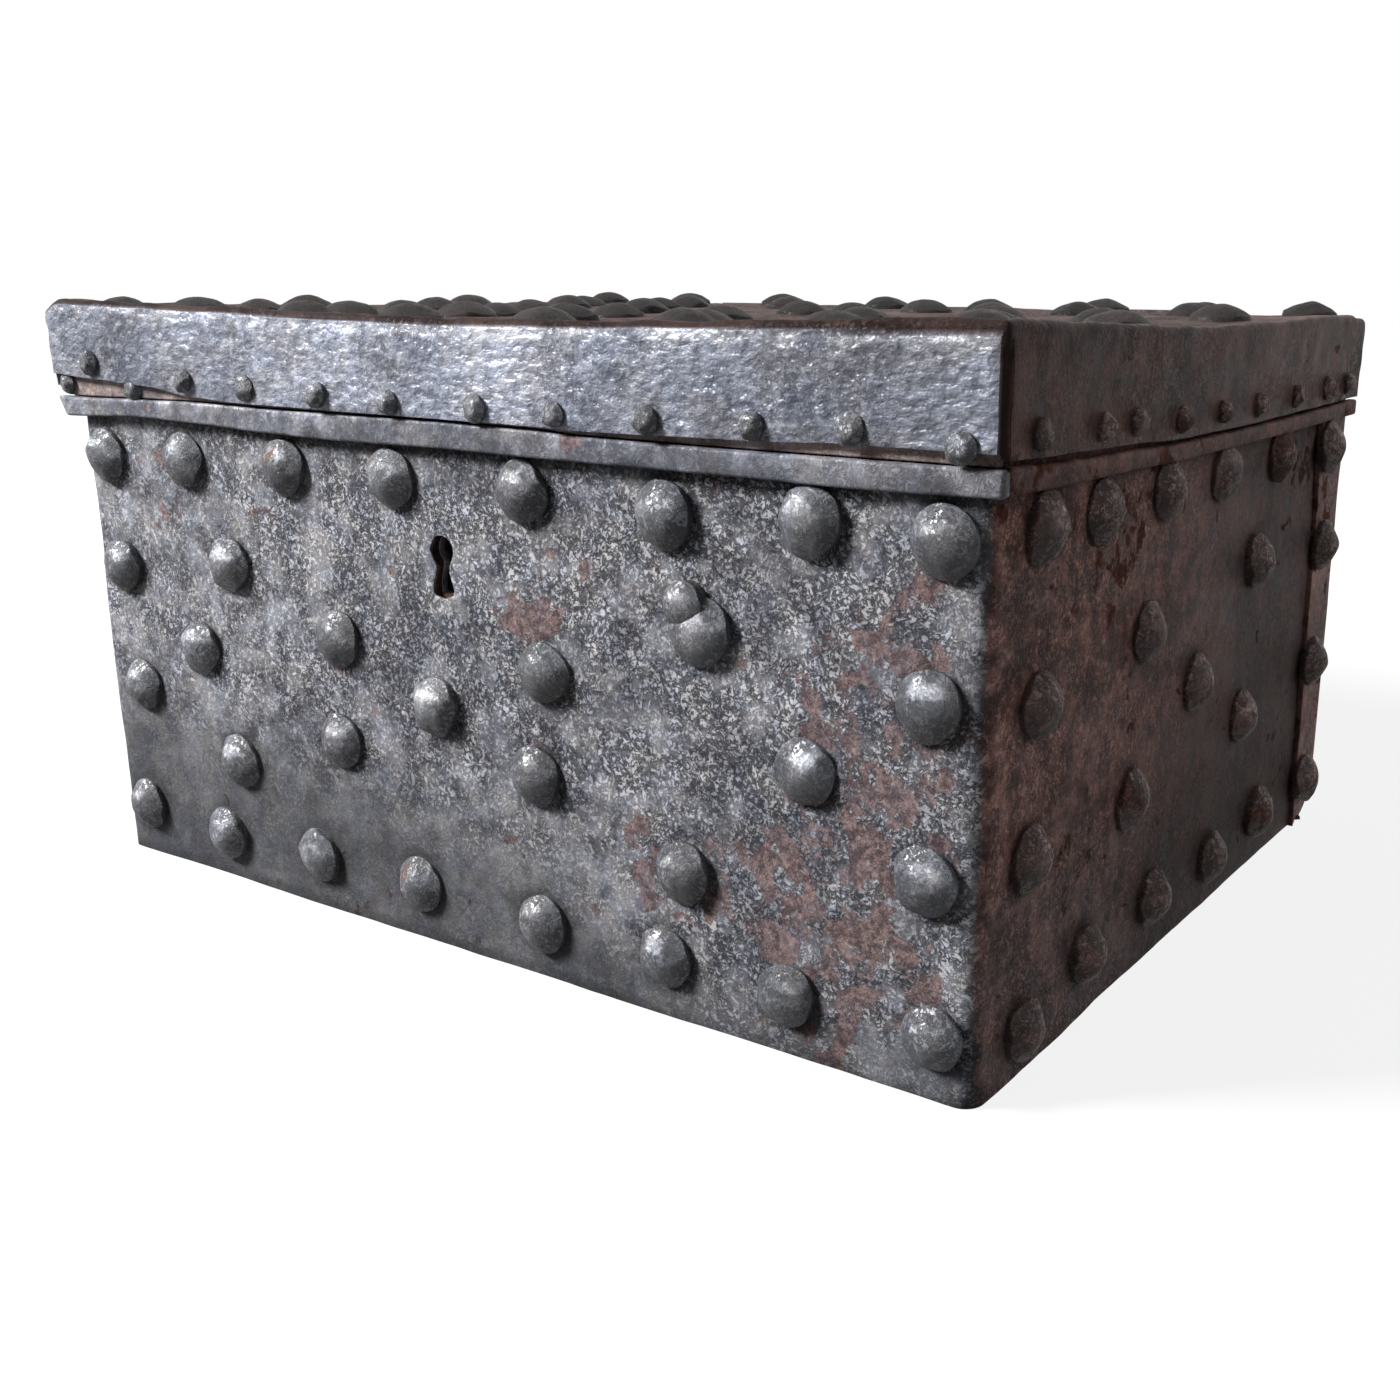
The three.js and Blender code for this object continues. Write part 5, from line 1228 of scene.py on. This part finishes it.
def build_rivets():
    """The rivets that are pieces of their own."""
    for side, way in (("right", 1), ("left", -1)):
        for k in range(1, 5):
            rivet_with_shank("flange_rivet_%s_%d" % (side, k), "box", (0, way), (0, 0, 1),
                             FLANGE_RIVET, SIDE_STUD_IRON, 110 + 10 * (way > 0) + k, (5, 9))
        for leaf, body, amount, seed in (("body", "box", 3, 130), ("lid", "lid", 2, 150)):
            for k in range(1, amount + 1):
                rivet_with_shank("hinge_%s_rivet_%s_%d" % (leaf, side, k), body, (1, 1), (0, 0, 1),
                                 HINGE_RIVET, STUD_IRON, seed + k + 10 * (way < 0))
        rivet_with_shank("staple_rivet_" + side, "lid", (2, -1), (0, 1, 0), LOCK_RIVET, LOCK_STEEL,
                         180 + (way < 0))
    for k in range(1, 5):
        rivet_with_shank("lock_rivet_%d" % k, "box", (1, 1), (0, 0, 1), LOCK_RIVET, LOCK_STEEL,
                         170 + k)


def build_box():
    """Every visible piece."""
    body_sheet()
    back_sheet()
    bands()
    strips()
    lid_sheet()
    lid_lining()
    build_studs()
    skirt_rivets()
    build_rivets()
    for side in ("left", "right"):
        dressed("hinge_body_strap_" + side, "box", HINGE_IRON, 0.4)
        dressed("hinge_lid_strap_" + side, "lid", HINGE_IRON, 0.4)
        dressed("hinge_pin_" + side, "box", HINGE_IRON, 0.3)
    for node in ("lock_plate", "bolt_guide_left", "bolt_guide_right", "ward_ring", "lock_cap",
                 "back_spring"):
        dressed(node, "box", LOCK_STEEL, 0.25)
    draw_back_shoulder(dressed("lock_bolt", "bolt", LOCK_STEEL, 0.25))
    dressed("lid_staple", "lid", LOCK_STEEL, 0.35)
    for node in ("front_lining", "right_lining", "left_lining", "back_lining", "bottom_plate"):
        for place in cad_nodes[node].material_slots:
            place.material = LINING_IRON


# ---- floor, light and camera ----

def seen_directly(tree):
    """1 for camera and glossy rays, 0 for others, and the node that tells."""
    rays = put(tree, "ShaderNodeLightPath")
    return Level(rays, "Is Camera Ray").at_least(Level(rays, "Is Glossy Ray")), rays


def floor_and_light():
    """A pale floor that looks white to the camera but keeps the box's shadow, a broad soft light
    from the left, weaker ones from above and from the right, and a plain sky."""
    size = 6.0
    mesh = bpy.data.meshes.new("floor")
    mesh.from_pydata([(-size, -size, 0), (size, -size, 0), (size, size, 0), (-size, size, 0)], [],
                     [(0, 1, 2, 3)])
    floor = bpy.data.objects.new("floor", mesh)
    bpy.context.scene.collection.objects.link(floor)
    material = bpy.data.materials.new("pale_floor")
    material.use_nodes = True
    tree = material.node_tree
    tree.nodes.clear()
    seen, _ = seen_directly(tree)
    place = Level(put(tree, "ShaderNodeTexCoord"), "Object")
    away = Level(put(tree, "ShaderNodeVectorMath", {0: place}, operation="LENGTH"), "Value")
    matte = put(tree, "ShaderNodeBsdfDiffuse", {"Color": (0.13, 0.13, 0.13, 1)})
    glow = put(tree, "ShaderNodeEmission", {"Color": (1, 1, 1, 1),
                                            "Strength": seen * step(away, 0.35, 0.85, 0.86, 1.0)})
    both = put(tree, "ShaderNodeAddShader", {0: Level(matte), 1: Level(glow)})
    put(tree, "ShaderNodeOutputMaterial", {"Surface": Level(both)})
    mesh.materials.append(material)

    world = bpy.data.worlds.new("plain_sky")
    world.use_nodes = True
    bpy.context.scene.world = world
    tree = world.node_tree
    tree.nodes.clear()
    seen, rays = seen_directly(tree)
    seen = seen.at_least(Level(rays, "Is Transmission Ray"))
    sky = put(tree, "ShaderNodeBackground", {"Color": (1, 1, 1, 1), "Strength": seen * 0.95 + 0.05})
    put(tree, "ShaderNodeOutputWorld", {"Surface": Level(sky)})

    for name, place, width, power in (("left_window", (-1.42, -1.30, 1.42), 0.60, 152.0),
                                      ("overhead", (-0.3, 0.6, 2.4), 1.4, 5.0),
                                      ("right_fill", (1.9, 0.3, 1.0), 1.0, 7.0)):
        lamp = bpy.data.lights.new(name, "AREA")
        lamp.shape, lamp.size, lamp.energy = "SQUARE", width, power
        holder = bpy.data.objects.new(name, lamp)
        bpy.context.scene.collection.objects.link(holder)
        aim = (Vector((0, 0, 0.1)) - Vector(place)).to_track_quat("-Z", "Y")
        holder.matrix_world = Matrix.Translation(place) @ aim.to_matrix().to_4x4()


def camera():
    """The photograph's viewpoint: turned 33.75 degrees to the right of the front and looking 16
    degrees down."""
    turn, tip, roll = math.radians(33.7472), math.radians(15.9627), math.radians(0.0545)
    back = Vector((math.sin(turn) * math.cos(tip), -math.cos(turn) * math.cos(tip), math.sin(tip)))
    right = Vector((math.cos(turn), math.sin(turn), 0))
    up = back.cross(right)
    right, up = (math.cos(roll) * right + math.sin(roll) * up,
                 math.cos(roll) * up - math.sin(roll) * right)
    lens = bpy.data.cameras.new("camera")
    lens.lens, lens.sensor_width, lens.sensor_fit = 40.729, 36.0, "HORIZONTAL"
    lens.shift_x, lens.shift_y = -0.07, 0.0129
    lens.clip_start, lens.clip_end = 0.02, 30.0
    viewer = bpy.data.objects.new("camera", lens)
    bpy.context.scene.collection.objects.link(viewer)
    place = Matrix((right, up, back)).transposed().to_4x4()
    place.translation = (0.37131, -0.50887, 0.22734)
    viewer.matrix_world = place
    bpy.context.scene.camera = viewer


camera()
build_box()
floor_and_light()
bpy.context.scene.view_settings.view_transform = "Standard"
